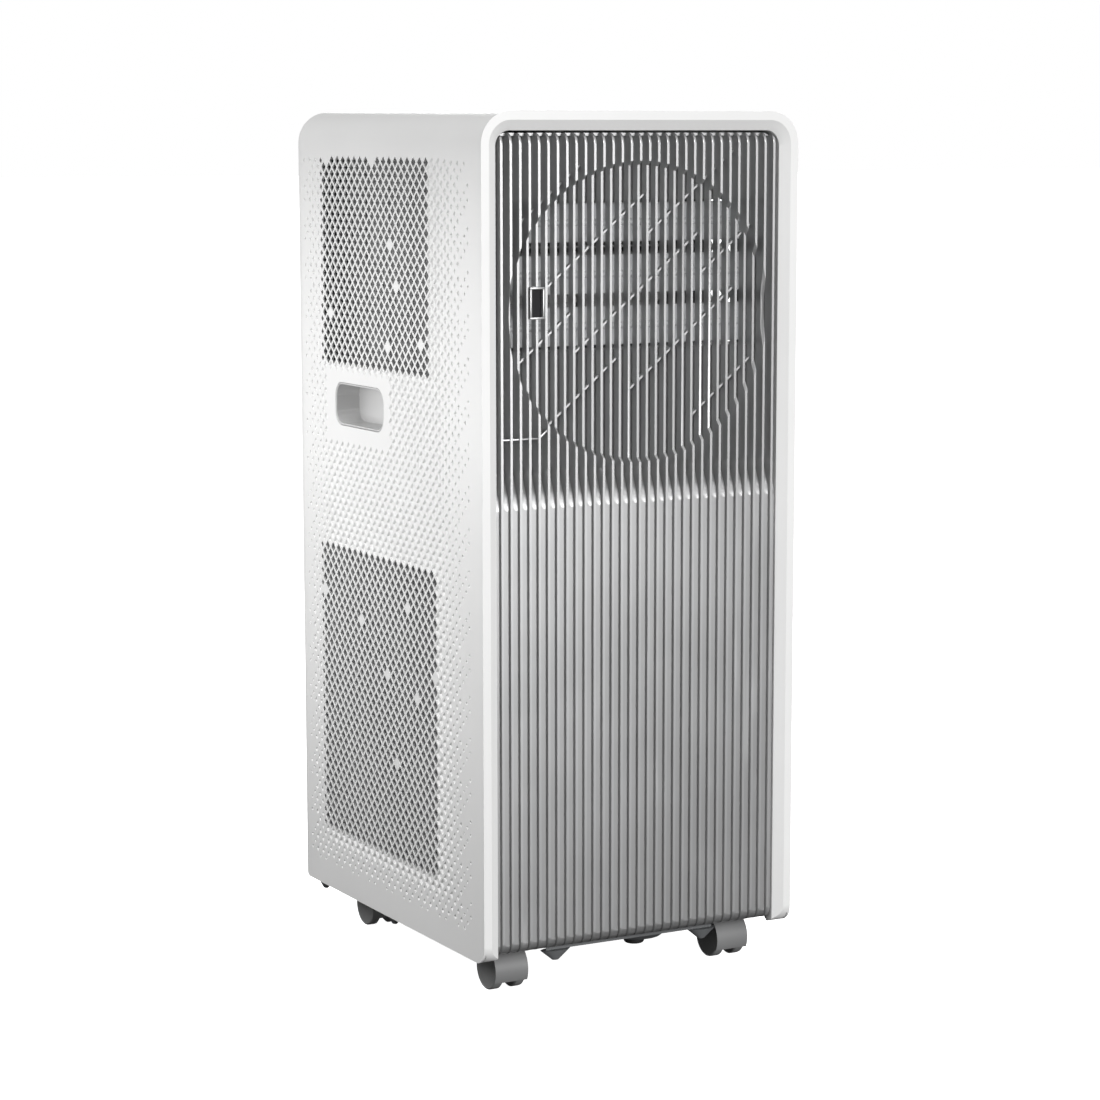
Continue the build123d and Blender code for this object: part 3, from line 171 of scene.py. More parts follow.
class NodeMaker:
    """A node tree with one method that makes every node."""

    def __init__(self, tree: bpy.types.NodeTree) -> None:
        """Keeps the tree.

        Args:
            tree: The tree that nodes are made in.
        """
        self.tree = tree

    def node(self, kind: str, settings: dict | None = None, inputs: dict | None = None) -> bpy.types.Node:
        """Makes a node, sets it up and connects it.

        Args:
            kind: The node's type.
            settings: Properties of the node, set first.
            inputs: For each input's name or number, a value, a Value or an output socket.

        Returns:
            The node.
        """
        made = self.tree.nodes.new(kind)
        for key, value in (settings or {}).items():
            setattr(made, key, value)
        for key, value in (inputs or {}).items():
            self.feed(made.inputs[key], value)
        return made

    def feed(self, target: bpy.types.NodeSocket, value: object) -> None:
        """Sets or links one input.

        Args:
            target: The input socket.
            value: A number, a colour, a Value or an output socket.
        """
        if isinstance(value, Value):
            value = value.socket
        if isinstance(value, bpy.types.NodeSocket):
            self.tree.links.new(value, target)
        else:
            target.default_value = value


class Shader(NodeMaker):
    """A material under construction."""

    def __init__(self, name: str) -> None:
        """Starts a material with an empty Principled surface.

        Args:
            name: The material's name.
        """
        self.material = bpy.data.materials.new(name)
        self.material.use_nodes = True
        super().__init__(self.material.node_tree)
        self.surface = self.tree.nodes["Principled BSDF"]
        self.place = self.node("ShaderNodeTexCoord").outputs["Object"]

    def stretched(self, scale: Colour) -> bpy.types.NodeSocket:
        """Object coordinates with a scale for each axis."""
        return self.node("ShaderNodeMapping", None, {"Vector": self.place, "Scale": scale}).outputs[0]

    def noise(self, scale: float, detail: float = 3.0, place: object = None) -> Value:
        """A noise from 0 to 1 over the surface.

        Args:
            scale: Features per metre.
            detail: Octaves.
            place: Coordinates, the object's own by default.

        Returns:
            The noise.
        """
        inputs = {"Vector": place or self.place, "Scale": scale, "Detail": detail}
        return Value(self, self.node("ShaderNodeTexNoise", None, inputs).outputs[0])

    def cells(self, scale: float, output: str = "Distance", feature: str = "F1") -> Value:
        """A Voronoi pattern over the surface.

        Args:
            scale: Cells per metre.
            output: The node output to read.
            feature: The pattern's feature.

        Returns:
            The pattern.
        """
        made = self.node("ShaderNodeTexVoronoi", {"feature": feature}, {"Vector": self.place, "Scale": scale})
        return Value(self, made.outputs[output])

    def along(self, axis: str) -> Value:
        """One of the object coordinates, in metres."""
        return Value(self, self.node("ShaderNodeSeparateXYZ", None, {0: self.place}).outputs[axis])

    def blend(self, low: Colour, high: Colour, amount: Value) -> bpy.types.NodeSocket:
        """A colour between two, by an amount that changes over the surface.

        Args:
            low: The colour where the amount is 0.
            high: The colour where it is 1.
            amount: The share of the second colour.

        Returns:
            The colour's socket.
        """
        inputs = {0: amount, 6: (*low, 1.0), 7: (*high, 1.0)}
        return self.node("ShaderNodeMix", {"data_type": "RGBA"}, inputs).outputs[2]

    def bump(self, height: Value, depth: float, strength: float) -> None:
        """Raises the surface's normal by a height.

        Args:
            height: The height, 0 to 1.
            depth: What a height of 1 is, in metres.
            strength: The share of the effect.
        """
        inputs = {"Height": height, "Distance": depth, "Strength": strength}
        bumped = self.node("ShaderNodeBump", None, inputs)
        self.feed(self.surface.inputs["Normal"], bumped.outputs[0])

    def finish(self, **inputs: object) -> bpy.types.Material:
        """Feeds the surface's inputs.

        Args:
            **inputs: A value or an output for each input, named with underscores for spaces.

        Returns:
            The finished material.
        """
        for key, value in inputs.items():
            self.feed(self.surface.inputs[key.replace("_", " ").title()], value)
        return self.material


# ---------------------------------------------------------------- finishes
def shade(colour: Colour, factor: float) -> Colour:
    """A colour made lighter or darker by a factor."""
    return tuple(min(1.0, channel * factor) for channel in colour)


@dataclass(frozen=True)
class MouldedPlastic:
    """Plastic from a grained mould, with slight flow mottling, handling marks and settled dust."""

    colour: Colour
    roughness: float = 0.42
    grain: float = 2600.0  # grain features per metre
    grain_depth: float = 0.00006
    grain_strength: float = 0.12
    mottle: float = 0.03
    dust: float = 0.05
    gloss_coat: float = 0.0

    def material(self, name: str) -> bpy.types.Material:
        """Builds the material.

        Args:
            name: The material's name.

        Returns:
            The material.
        """
        shader = Shader(name)
        flow = shader.noise(9.0, 4.0)
        specks = shader.noise(420.0, 2.0).ramp(0.62, 0.8)
        marks = shader.noise(60.0, 5.0, shader.stretched((1.0, 1.0, 0.25))).ramp(0.55, 0.75)
        grain = shader.noise(self.grain, 2.0)
        amount = (flow.ramp(0.3, 0.7) * 0.7 + specks * 0.3).limited()
        pale = shade(self.colour, 1 + self.mottle)
        dusty = shade(self.colour, 1 - self.mottle - self.dust)
        colour = shader.blend(pale, dusty, amount)
        shader.bump(grain, self.grain_depth, self.grain_strength)
        roughness = marks * 0.09 + grain * 0.06 + (self.roughness - 0.07)
        coat = {"coat_weight": self.gloss_coat, "coat_roughness": 0.12}
        return shader.finish(base_color=colour, roughness=roughness, **coat)


@dataclass(frozen=True)
class SilverPaint:
    """Satin silver paint over plastic: fine metal flake under a soft clear coat, with painted shade in the
    recesses behind the fin fronts where a span is given.
    """

    colour: Colour
    metallic: float = 0.35
    roughness: float = 0.38
    flake: float = 5200.0
    recess_shade_span: tuple[float, float] = (0.0, 0.0)  # Y in metres where the painted shade of the recesses behind the fin fronts starts and where it is full
    mottle_and_recess_shade: float = 0.88  # how light the mottle's darker end is, which is also the painted shade at its deepest in the recesses

    def material(self, name: str) -> bpy.types.Material:
        """Builds the material.

        Args:
            name: The material's name.

        Returns:
            The material.
        """
        shader = Shader(name)
        flake = shader.noise(self.flake, 1.0)
        cloud = shader.noise(14.0, 3.0).ramp(0.3, 0.7)
        scuff = shader.noise(90.0, 4.0, shader.stretched((1.0, 1.0, 0.12))).ramp(0.6, 0.78)
        mix = cloud * 0.3 + flake * 0.2
        # painted shade: the colour darkens with depth behind the fin fronts, in the recesses between the fins
        if self.recess_shade_span != (0.0, 0.0):
            mix = mix + shader.along("Y").ramp(*self.recess_shade_span) * 0.5
        colour = shader.blend(shade(self.colour, 1.04), shade(self.colour, self.mottle_and_recess_shade), mix.limited())
        shader.bump(flake, 0.00003, 0.15)
        roughness = scuff * 0.1 + flake * 0.08 + (self.roughness - 0.08)
        return shader.finish(base_color=colour, roughness=roughness, metallic=self.metallic)


@dataclass(frozen=True)
class Metal:
    """Bare or plated metal with directional brushing, spangle and tarnish."""

    colour: Colour
    tarnish: Colour
    roughness: float = 0.32
    brushing: Colour = (1.0, 1.0, 24.0)
    spangle: float = 0.0  # zinc crystals per metre, none at 0

    def material(self, name: str) -> bpy.types.Material:
        """Builds the material.

        Args:
            name: The material's name.

        Returns:
            The material.
        """
        shader = Shader(name)
        strokes = shader.noise(180.0, 3.0, shader.stretched(self.brushing))
        patches = shader.noise(38.0, 5.0).ramp(0.42, 0.72)
        if self.spangle:
            patches = (patches * 0.4 + shader.cells(self.spangle, "Color") * 0.6).limited()
        colour = shader.blend(self.colour, self.tarnish, patches)
        shader.bump(strokes, 0.00004, 0.25)
        roughness = strokes * 0.12 + patches * 0.14 + (self.roughness - 0.1)
        return shader.finish(base_color=colour, roughness=roughness, metallic=1.0)


@dataclass(frozen=True)
class FinStock:
    """Thin aluminium sheets stacked side by side, with painted shade in the grooves between them and
    scattered dirt.
    """

    colour: Colour
    dirt_and_gap_shade: Colour
    pitch: float = 0.0014

    def material(self, name: str) -> bpy.types.Material:
        """Builds the material.

        Args:
            name: The material's name.

        Returns:
            The material.
        """
        shader = Shader(name)
        row = shader.along("X").math("MULTIPLY", 1 / self.pitch).math("FRACT")
        # painted shade: dark stripes in the grooves between the sheets, blended towards the same dark colour
        # as the noise of real dirt
        edge = (row - 0.5).math("ABSOLUTE").ramp(0.18, 0.42)
        dirt_and_gap_shade = shader.noise(55.0, 5.0).ramp(0.45, 0.7)
        colour = shader.blend(self.colour, self.dirt_and_gap_shade, (edge * 0.5 + dirt_and_gap_shade * 0.5).limited())
        shader.bump(1 - edge, 0.0004, 0.6)
        return shader.finish(base_color=colour, roughness=dirt_and_gap_shade * 0.25 + 0.3, metallic=0.85)


@dataclass(frozen=True)
class Rubber:
    """Matt rubber with a fine mould texture and pale wear and dust."""

    colour: Colour
    wear: Colour
    roughness: float = 0.72

    def material(self, name: str) -> bpy.types.Material:
        """Builds the material.

        Args:
            name: The material's name.

        Returns:
            The material.
        """
        shader = Shader(name)
        worn = shader.noise(130.0, 6.0).ramp(0.5, 0.78)
        skin = shader.noise(3000.0, 2.0)
        shader.bump(skin, 0.00008, 0.3)
        colour = shader.blend(self.colour, self.wear, worn * 0.6)
        return shader.finish(base_color=colour, roughness=worn * 0.12 + self.roughness)


@dataclass(frozen=True)
class Enamel:
    """Oven-baked enamel on a drawn steel can, with orange peel."""

    colour: Colour
    roughness: float = 0.3

    def material(self, name: str) -> bpy.types.Material:
        """Builds the material.

        Args:
            name: The material's name.

        Returns:
            The material.
        """
        shader = Shader(name)
        peel = shader.noise(700.0, 2.0)
        haze = shader.noise(26.0, 4.0).ramp(0.4, 0.75)
        shader.bump(peel, 0.0001, 0.2)
        colour = shader.blend(self.colour, shade(self.colour, 2.0), haze * 0.5)
        return shader.finish(base_color=colour, roughness=haze * 0.2 + self.roughness)


@dataclass(frozen=True)
class CircuitBoard:
    """Solder mask over copper tracks."""

    mask: Colour
    track: Colour

    def material(self, name: str) -> bpy.types.Material:
        """Builds the material.

        Args:
            name: The material's name.

        Returns:
            The material.
        """
        shader = Shader(name)
        lines = shader.cells(210.0, "Distance", "DISTANCE_TO_EDGE").ramp(0.03, 0.06)
        pads = 1 - shader.cells(330.0).ramp(0.1, 0.16)
        shader.bump(1 - lines, 0.00004, 0.5)
        colour = shader.blend(self.mask, self.track, ((1 - lines) * 0.45 + pads * 0.4).limited())
        return shader.finish(base_color=colour, roughness=lines * 0.1 + 0.28)


FINISHES = {
    "cabinet_white": MouldedPlastic((0.86, 0.86, 0.855), roughness=0.4, mottle=0.01, dust=0.02),
    # grille_silver: painted shade darkens the recesses between the fins, from 0.2 to 2.8 mm behind their
    # fronts
    "grille_silver": SilverPaint(
        (0.52, 0.522, 0.524), metallic=0.66, roughness=0.42, recess_shade_span=(-0.1851, -0.1825), mottle_and_recess_shade=0.8
    ),
    "louvre_grey": MouldedPlastic((0.55, 0.56, 0.57), roughness=0.4),
    "window_black": MouldedPlastic((0.02, 0.02, 0.022), roughness=0.12, grain_strength=0.02, gloss_coat=0.6),
    "panel_black": MouldedPlastic((0.035, 0.035, 0.038), roughness=0.22, grain_strength=0.05, gloss_coat=0.4),
    "button_grey": MouldedPlastic((0.48, 0.49, 0.50), roughness=0.45),
    "pan_grey": MouldedPlastic((0.15, 0.155, 0.16), roughness=0.55, dust=0.2, mottle=0.06),
    "caster_grey": MouldedPlastic((0.24, 0.241, 0.243), roughness=0.5, dust=0.12, mottle=0.05),
    "caster_black": MouldedPlastic((0.26, 0.261, 0.262), roughness=0.55, dust=0.15, mottle=0.06),
    "rubber_black": Rubber((0.02, 0.02, 0.02), (0.09, 0.088, 0.085)),
    # coil_aluminium: the second colour is both real dirt and the painted shade of the grooves between sheets
    "coil_aluminium": FinStock((0.72, 0.73, 0.74), (0.22, 0.215, 0.20)),
    "copper": Metal((0.80, 0.40, 0.24), (0.36, 0.17, 0.10), brushing=(1.0, 1.0, 1.0)),
    "compressor_black": Enamel((0.018, 0.018, 0.02)),
    "zinc_steel": Metal((0.62, 0.63, 0.65), (0.42, 0.43, 0.45), spangle=95.0),
    "inner_plastic": MouldedPlastic((0.42, 0.425, 0.43), roughness=0.6, dust=0.1),
    "fan_black": MouldedPlastic((0.03, 0.03, 0.032), roughness=0.38, dust=0.2),
    "fan_grey": MouldedPlastic((0.42, 0.42, 0.42), roughness=0.45, dust=0.1),
    # pocket_grey: the cabinet's white plastic greyed to stand for the shade inside the deep hand cups; this
    # grey is painted shade
    "pocket_grey": MouldedPlastic((0.60, 0.60, 0.598), roughness=0.45, mottle=0.01, dust=0.03),
    "board_green": CircuitBoard((0.02, 0.14, 0.06), (0.10, 0.36, 0.16)),
    "filter_grey": MouldedPlastic((0.31, 0.312, 0.315), roughness=0.6, dust=0.15),
}


class Wardrobe:
    """Makes each finish once and hands it out by its slot's name."""

    def __init__(self) -> None:
        """Starts with nothing made."""
        self.made: dict[str, bpy.types.Material] = {}

    def __getitem__(self, slot: str) -> bpy.types.Material:
        """The material of one slot of the record."""
        if slot not in self.made:
            self.made[slot] = FINISHES[slot].material(slot)
        return self.made[slot]

    def dress_frame(self) -> None:
        """Gives every part of the frame the finish that the record names."""
        for part in frame["record"]["subparts"]:
            node = frame["nodes"][part["node"]]
            node.data.materials.clear()
            node.data.materials.append(self[part["material_slot"]])


# ---------------------------------------------------------------- mesh work
@dataclass(frozen=True)
class Span:
    """A box of the frame in millimetres."""

    low: Vector
    high: Vector

    @classmethod
    def of(cls, node: str) -> "Span":
        """The box of one part of the frame."""
        low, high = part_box(node)
        return cls(low / MM, high / MM)

    @property
    def centre(self) -> Vector:
        """The middle of the box."""
        return (self.low + self.high) / 2

    @property
    def size(self) -> Vector:
        """The box's three lengths."""
        return self.high - self.low


class Workpiece:
    """A mesh on the bench, in millimetres."""

    def __init__(self, name: str) -> None:
        """Starts an empty mesh.

        Args:
            name: The finished piece's name.
        """
        self.name = name
        self.mesh = bmesh.new()

    def boundary(self, wanted: Callable[[Vector], bool]) -> list[bmesh.types.BMEdge]:
        """Open edges whose two ends both pass a test.

        Args:
            wanted: A function of a vertex's place.

        Returns:
            The edges.
        """
        return [e for e in self.mesh.edges if e.is_boundary and all(wanted(v.co) for v in e.verts)]

    def block(self, low: Vector, high: Vector, bevel: float) -> list[bmesh.types.BMVert]:
        """Adds a box with bevelled edges.

        Args:
            low: Its lowest corner.
            high: Its highest corner.
            bevel: The bevel's width.

        Returns:
            The box's vertices.
        """
        middle = Matrix.Translation((low + high) / 2) @ Matrix.Diagonal((*(high - low), 1.0))
        made = bmesh.ops.create_cube(self.mesh, size=1.0, matrix=middle)["verts"]
        edges = list({e for v in made for e in v.link_edges})
        bevelled = bmesh.ops.bevel(
            self.mesh, geom=edges, offset=bevel, segments=2, profile=0.5, affect="EDGES", material=-1
        )
        return list({v for f in bevelled["faces"] for v in f.verts})

    def lathe(self, profile: list[tuple[float, float]], centre: Vector, steps: int) -> None:
        """Turns a closed profile about an axis along X.

        Args:
            profile: Points of the profile, each an offset along X and a radius.
            centre: The point on the axis where the offset is 0.
            steps: Faces round the turn.
        """
        points = [self.mesh.verts.new(centre + Vector((x, 0.0, r))) for x, r in profile]
        edges = [self.mesh.edges.new(pair) for pair in zip(points, points[1:] + points[:1])]
        bmesh.ops.spin(
            self.mesh, geom=points + edges, cent=centre, axis=(1.0, 0.0, 0.0), dvec=(0.0, 0.0, 0.0),
            angle=math.tau, steps=steps, use_merge=True, use_duplicate=False,
        )
        bmesh.ops.remove_doubles(self.mesh, verts=self.mesh.verts, dist=WELD)

    def finish(
        self,
        body: str,
        slot: str,
        material: bpy.types.Material,
        replaces: tuple[str, ...] = (),
        smooth_angle: float = 40.0,
        recalc: bool = True,
    ) -> bpy.types.Object:
        """Turns the mesh into a piece that rides on a body.

        Args:
            body: The body that it moves with.
            slot: The record's material slot; not used.
            material: Its finish.
            replaces: Parts of the frame that it stands for.
            smooth_angle: Edges sharper than this, in degrees, stay sharp.
            recalc: True where the faces may point either way.

        Returns:
            The piece.
        """
        bmesh.ops.scale(self.mesh, vec=(MM, MM, MM), verts=self.mesh.verts)
        if recalc:
            bmesh.ops.recalc_face_normals(self.mesh, faces=self.mesh.faces)
        for face in self.mesh.faces:
            face.smooth = True
        for edge in self.mesh.edges:
            edge.smooth = edge.is_manifold and edge.calc_face_angle(0.0) < math.radians(smooth_angle)
        data = bpy.data.meshes.new(self.name)
        self.mesh.to_mesh(data)
        self.mesh.free()
        data.materials.append(material)
        piece = bpy.data.objects.new(self.name, data)
        bpy.context.scene.collection.objects.link(piece)
        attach(piece, body)
        if replaces:
            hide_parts(*replaces)
        log.info("%s: %d faces", self.name, len(data.polygons))
        return piece


def thicken(piece: bpy.types.Object, thickness: float) -> None:
    """Gives a skin its wall, inwards from its outer face.

    Args:
        piece: The skin.
        thickness: The wall in millimetres.
    """
    wall = piece.modifiers.new("wall", "SOLIDIFY")
    wall.thickness = thickness * MM
    wall.offset = -1.0


# ---------------------------------------------------------------- side panels
@dataclass(frozen=True)
class Zone:
    """A rectangle on the side wall, in millimetres."""

    low_y: float
    high_y: float
    low_z: float
    high_z: float

    def holds(self, y: float, z: float, margin: float = 0.0) -> bool:
        """True if the point is inside, by at least the margin where it is negative."""
        return (
            self.low_y - margin <= y <= self.high_y + margin
            and self.low_z - margin <= z <= self.high_z + margin
        )


class Cell(Enum):
    """What one diamond of the side wall's lattice is."""

    PLAIN = "plain"
    OPEN = "open"
    NARROW = "narrow"
    DEEP = "deep"
    MIDDLE = "middle"
    SMALL = "small"
    DOT = "dot"


# how each kind is pressed: its flat border, then the slope and the depth of its sides
PRESSES = {
    Cell.OPEN: (0.85, 0.25, -0.35),
    Cell.NARROW: (2.0, 0.3, -0.35),
    Cell.DEEP: (0.9, 1.5, -1.3),
    Cell.MIDDLE: (1.6, 1.2, -1.2),
    Cell.SMALL: (2.3, 0.9, -1.1),
    Cell.DOT: (2.8, 0.6, -1.0),
}


@dataclass
class SidePanel:
    """A side wall with its rounded top and back, diamond perforations and hand opening."""

    side: Side
    wardrobe: Wardrobe
    wall: float = 2.0
    edge_radius: float = 27.0
    turn_steps: int = 10
    under_steps: int = 8
    toe_radius: float = 15.0
    toe_steps: int = 6
    half_pitch: float = 5.85  # half a diamond's diagonal, along Y
    squeeze: float = 0.9932  # a diamond's height over its length
    anchor_y: float = 9.64  # centre of one diamond
    anchor_z: float = 687.1
    whole: float = 0.999  # share of a diamond's area that counts as untrimmed
    upper: Zone = Zone(-92.0, 123.0, 515.0, 695.0)
    lower: Zone = Zone(-104.0, 129.0, 91.0, 354.0)
    field: Zone = Zone(-168.0, 160.0, 56.0, 697.0)
    # how far each dimple size reaches in from the field's sides, and up from its bottom
    dot_border: tuple[float, float] = (14.0, 8.0)
    small_border: tuple[float, float] = (34.0, 22.0)
    middle_border: float = 52.0
    rim: Zone = Zone(-11.0, 104.0, 451.5, 506.5)
    rim_clear: float = 0.9  # the clearing past the rim, in half diamonds
    rim_ragged: float = 2.1  # how far past the rim the cleared edge reaches, in half diamonds
    hole_gap: float = 0.6  # the hand opening's size over the cup's
    hole_radius: float = 13.1
    closed_each: int = 7  # single diamonds left closed in each zone, scattered at random
    scatter_seed: int = 3

    def cell(self, y: float, z: float) -> Cell:
        """Says what the diamond centred at a place is.

        Args:
            y: Its place along the wall.
            z: Its height.

        Returns:
            The kind of diamond.
        """
        drop = (self.anchor_z - z) / (self.half_pitch * self.squeeze)
        step = (round((y - self.anchor_y) / self.half_pitch), round(drop))
        for zone in (self.upper, self.lower):
            if zone.holds(y, z):
                return Cell.OPEN if zone.holds(y + self.half_pitch, z) else Cell.NARROW
        if not self.field.holds(y, z):
            return Cell.PLAIN
        near = min(y - self.field.low_y, self.field.high_y - y)
        low = z - self.field.low_z
        if near < self.dot_border[0] or low < self.dot_border[1]:
            return Cell.DOT if (step[0] + 2 * step[1]) % 3 else Cell.PLAIN
        if near < self.small_border[0] or low < self.small_border[1]:
            return Cell.SMALL
        return Cell.MIDDLE if near < self.middle_border else Cell.DEEP

    def lattice(self, work: Workpiece, box: Span) -> None:
        """Lays the diamond lattice over the flat of the wall and trims it.

        Args:
            work: The panel's mesh.
            box: The panel's box.
        """
        flat_back = box.high.y - self.edge_radius
        flat_top = box.high.z - self.edge_radius
        middle_y = (box.low.y + flat_back) / 2
        middle_z = (box.low.z + flat_top) / 2
        columns = round((middle_y - self.anchor_y) / self.half_pitch)
        row = self.half_pitch * self.squeeze
        rows = round((middle_z - self.anchor_z) / row)
        rows += (columns + rows + 1) % 2
        centre = Vector((
            box.low.x,
            self.anchor_y + columns * self.half_pitch,
            self.anchor_z + rows * row,
        ))
        cells = 2 * math.ceil((flat_back - box.low.y + flat_top - box.low.z) / row / 4 + 2)
        cell_side = self.half_pitch * math.sqrt(2.0)
        face_out = Matrix.Rotation(math.radians(-90), 4, "Y")
        turn = Matrix.Diagonal((1.0, 1.0, self.squeeze, 1.0)) @ Matrix.Rotation(math.radians(45), 4, "X")
        bmesh.ops.create_grid(
            work.mesh, x_segments=cells, y_segments=cells, size=cells * cell_side / 2,
            matrix=Matrix.Translation(centre) @ turn @ face_out,
        )
        edges = [
            (Vector((0, box.low.y, 0)), Vector((0, -1, 0))),
            (Vector((0, flat_back, 0)), Vector((0, 1, 0))),
            (Vector((0, 0, box.low.z)), Vector((0, 0, -1))),
            (Vector((0, 0, flat_top)), Vector((0, 0, 1))),
        ]
        front = CAD_BOX[0].y / MM
        toe_centre = Vector((0.0, front + self.toe_radius, box.low.z + self.toe_radius))
        for step in range(self.toe_steps):
            angle = (step + 0.5) / self.toe_steps * math.pi / 2
            outward = Vector((0.0, -math.cos(angle), -math.sin(angle)))
            edges.append((toe_centre + outward * self.toe_radius, outward))
        for point, normal in edges:
            geometry = [*work.mesh.verts, *work.mesh.edges, *work.mesh.faces]
            bmesh.ops.bisect_plane(
                work.mesh, geom=geometry, dist=WELD, plane_co=point, plane_no=normal, clear_outer=True
            )

    def open_hand_hole(self, work: Workpiece, cup: Span) -> None:
        """Clears the smooth rim round the hand opening and cuts the opening to the cup's outline.

        Args:
            work: The panel's mesh.
            cup: The hand cup's box.
        """
        clear = self.half_pitch * self.rim_clear
        places = [(face, face.calc_center_median()) for face in work.mesh.faces]
        cleared = [face for face, place in places if self.rim.holds(place.y, place.z, clear)]
        bmesh.ops.delete(work.mesh, geom=cleared, context="FACES")
        reach = self.half_pitch * self.rim_ragged
        ragged = work.boundary(lambda place: self.rim.holds(place.y, place.z, reach))
        centre = Vector((work_plane_x(work), cup.centre.y, cup.centre.z))
        length, height = cup.size.y + self.hole_gap, cup.size.z + self.hole_gap
        outline = rounded_loop(work, centre, length, height, self.hole_radius)
        bmesh.ops.triangle_fill(work.mesh, use_beauty=True, use_dissolve=False, edges=ragged + outline)

    def press_cells(self, work: Workpiece) -> None:
        """Cuts the openings and presses the dimples.

        Args:
            work: The panel's mesh.
        """
        full = 2 * self.half_pitch**2 * self.squeeze
        kinds: dict[Cell, list[bmesh.types.BMFace]] = {kind: [] for kind in Cell}
        for face in work.mesh.faces:
            if len(face.verts) == 4 and face.calc_area() > self.whole * full:
                place = face.calc_center_median()
                kinds[self.cell(place.y, place.z)].append(face)
        self.leave_closed(kinds[Cell.OPEN])
        for kind, (border, slope, depth) in PRESSES.items():
            faces = kinds[kind]
            bmesh.ops.inset_individual(work.mesh, faces=faces, thickness=border, use_even_offset=True)
            bmesh.ops.inset_individual(
                work.mesh, faces=faces, thickness=slope, depth=depth, use_even_offset=True
            )
        bmesh.ops.delete(work.mesh, geom=kinds[Cell.OPEN] + kinds[Cell.NARROW], context="FACES")

    def leave_closed(self, openings: list[bmesh.types.BMFace]) -> None:
        """Takes a few scattered diamonds of each zone out of the openings.

        Args:
            openings: The faces that would be cut open.
        """
        draw = random.Random(self.scatter_seed)
        for zone in (self.upper, self.lower):
            places = [(face, face.calc_center_median()) for face in openings]
            inside = [face for face, place in places if zone.holds(place.y, place.z)]
            for face in draw.sample(inside, self.closed_each):
                openings.remove(face)

    def round_over(self, work: Workpiece, box: Span) -> None:
        """Turns the wall's top and back edges over to the neighbouring panels.

        Args:
            work: The panel's mesh.
            box: The panel's box.
        """
        turn_x = box.low.x + self.edge_radius
        turn_y = box.high.y - self.edge_radius
        turn_z = box.high.z - self.edge_radius
        top = work.boundary(lambda place: place.z > turn_z - WELD)
        bmesh.ops.spin(
            work.mesh, geom=[*top, *{v for e in top for v in e.verts}], cent=(turn_x, 0, turn_z),
            axis=(0, 1, 0), dvec=(0, 0, 0), angle=math.pi / 2, steps=self.turn_steps,
        )
        back = work.boundary(lambda place: place.y > turn_y - WELD)
        bmesh.ops.spin(
            work.mesh, geom=[*back, *{v for e in back for v in e.verts}], cent=(turn_x, turn_y, 0),
            axis=(0, 0, 1), dvec=(0, 0, 0), angle=-math.pi / 2, steps=self.turn_steps,
        )
        bmesh.ops.remove_doubles(work.mesh, verts=work.mesh.verts, dist=WELD)
        seam = work.boundary(lambda place: place.x > turn_x - WELD)
        lip = bmesh.ops.extrude_edge_only(work.mesh, edges=seam)["geom"]
        moved = [v for v in lip if isinstance(v, bmesh.types.BMVert)]
        bmesh.ops.translate(work.mesh, verts=moved, vec=(box.high.x - turn_x, 0, 0))
        self.round_under(work, box.low.z, turn_y)

    def round_under(self, work: Workpiece, low_z: float, turn_y: float) -> None:
        """Rounds the back's lower edge under, to match the rear panel.

        Args:
            work: The panel's mesh.
            low_z: The panel's lower edge.
            turn_y: Where the back's turn starts.
        """
        radius = self.edge_radius
        for step in range(1, self.under_steps + 1):
            height = low_z + radius * (1 - math.cos(step / self.under_steps * math.pi / 2))
            turned = [f for f in work.mesh.faces if all(v.co.y > turn_y - WELD for v in f.verts)]
            parts = [*turned, *{e for f in turned for e in f.edges}, *{v for f in turned for v in f.verts}]
            bmesh.ops.bisect_plane(
                work.mesh, geom=parts, dist=WELD, plane_co=(0, 0, height), plane_no=(0, 0, 1)
            )
        for vertex in work.mesh.verts:
            lift = max(0.0, vertex.co.z - low_z)
            if vertex.co.y > turn_y and lift < radius:
                reach = math.sqrt(radius**2 - (radius - lift) ** 2)
                vertex.co.y = min(vertex.co.y, turn_y + reach)

    def build(self) -> None:
        """Makes the panel on the left and turns it over for the right."""
        box = Span.of("left_side_panel")
        work = Workpiece(f"side_panel_{self.side.word}")
        self.lattice(work, box)
        self.open_hand_hole(work, Span.of("left_handle_cup"))
        self.round_over(work, box)
        self.press_cells(work)
        bmesh.ops.remove_doubles(work.mesh, verts=work.mesh.verts, dist=WELD)
        bmesh.ops.recalc_face_normals(work.mesh, faces=work.mesh.faces)
        if sum(face.normal.x * face.calc_area() for face in work.mesh.faces) > 0:
            bmesh.ops.reverse_faces(work.mesh, faces=work.mesh.faces)
        if self.side is Side.RIGHT:
            bmesh.ops.scale(work.mesh, vec=(-1, 1, 1), verts=work.mesh.verts)
            bmesh.ops.reverse_faces(work.mesh, faces=work.mesh.faces)
        node = f"{self.side.word}_side_panel"
        white = self.wardrobe["cabinet_white"]
        piece = work.finish("cabinet", "cabinet_white", white, (node,), smooth_angle=20.0, recalc=False)
        thicken(piece, self.wall)


def work_plane_x(work: Workpiece) -> float:
    """The X of a flat mesh that lies across X."""
    return next(iter(work.mesh.verts)).co.x


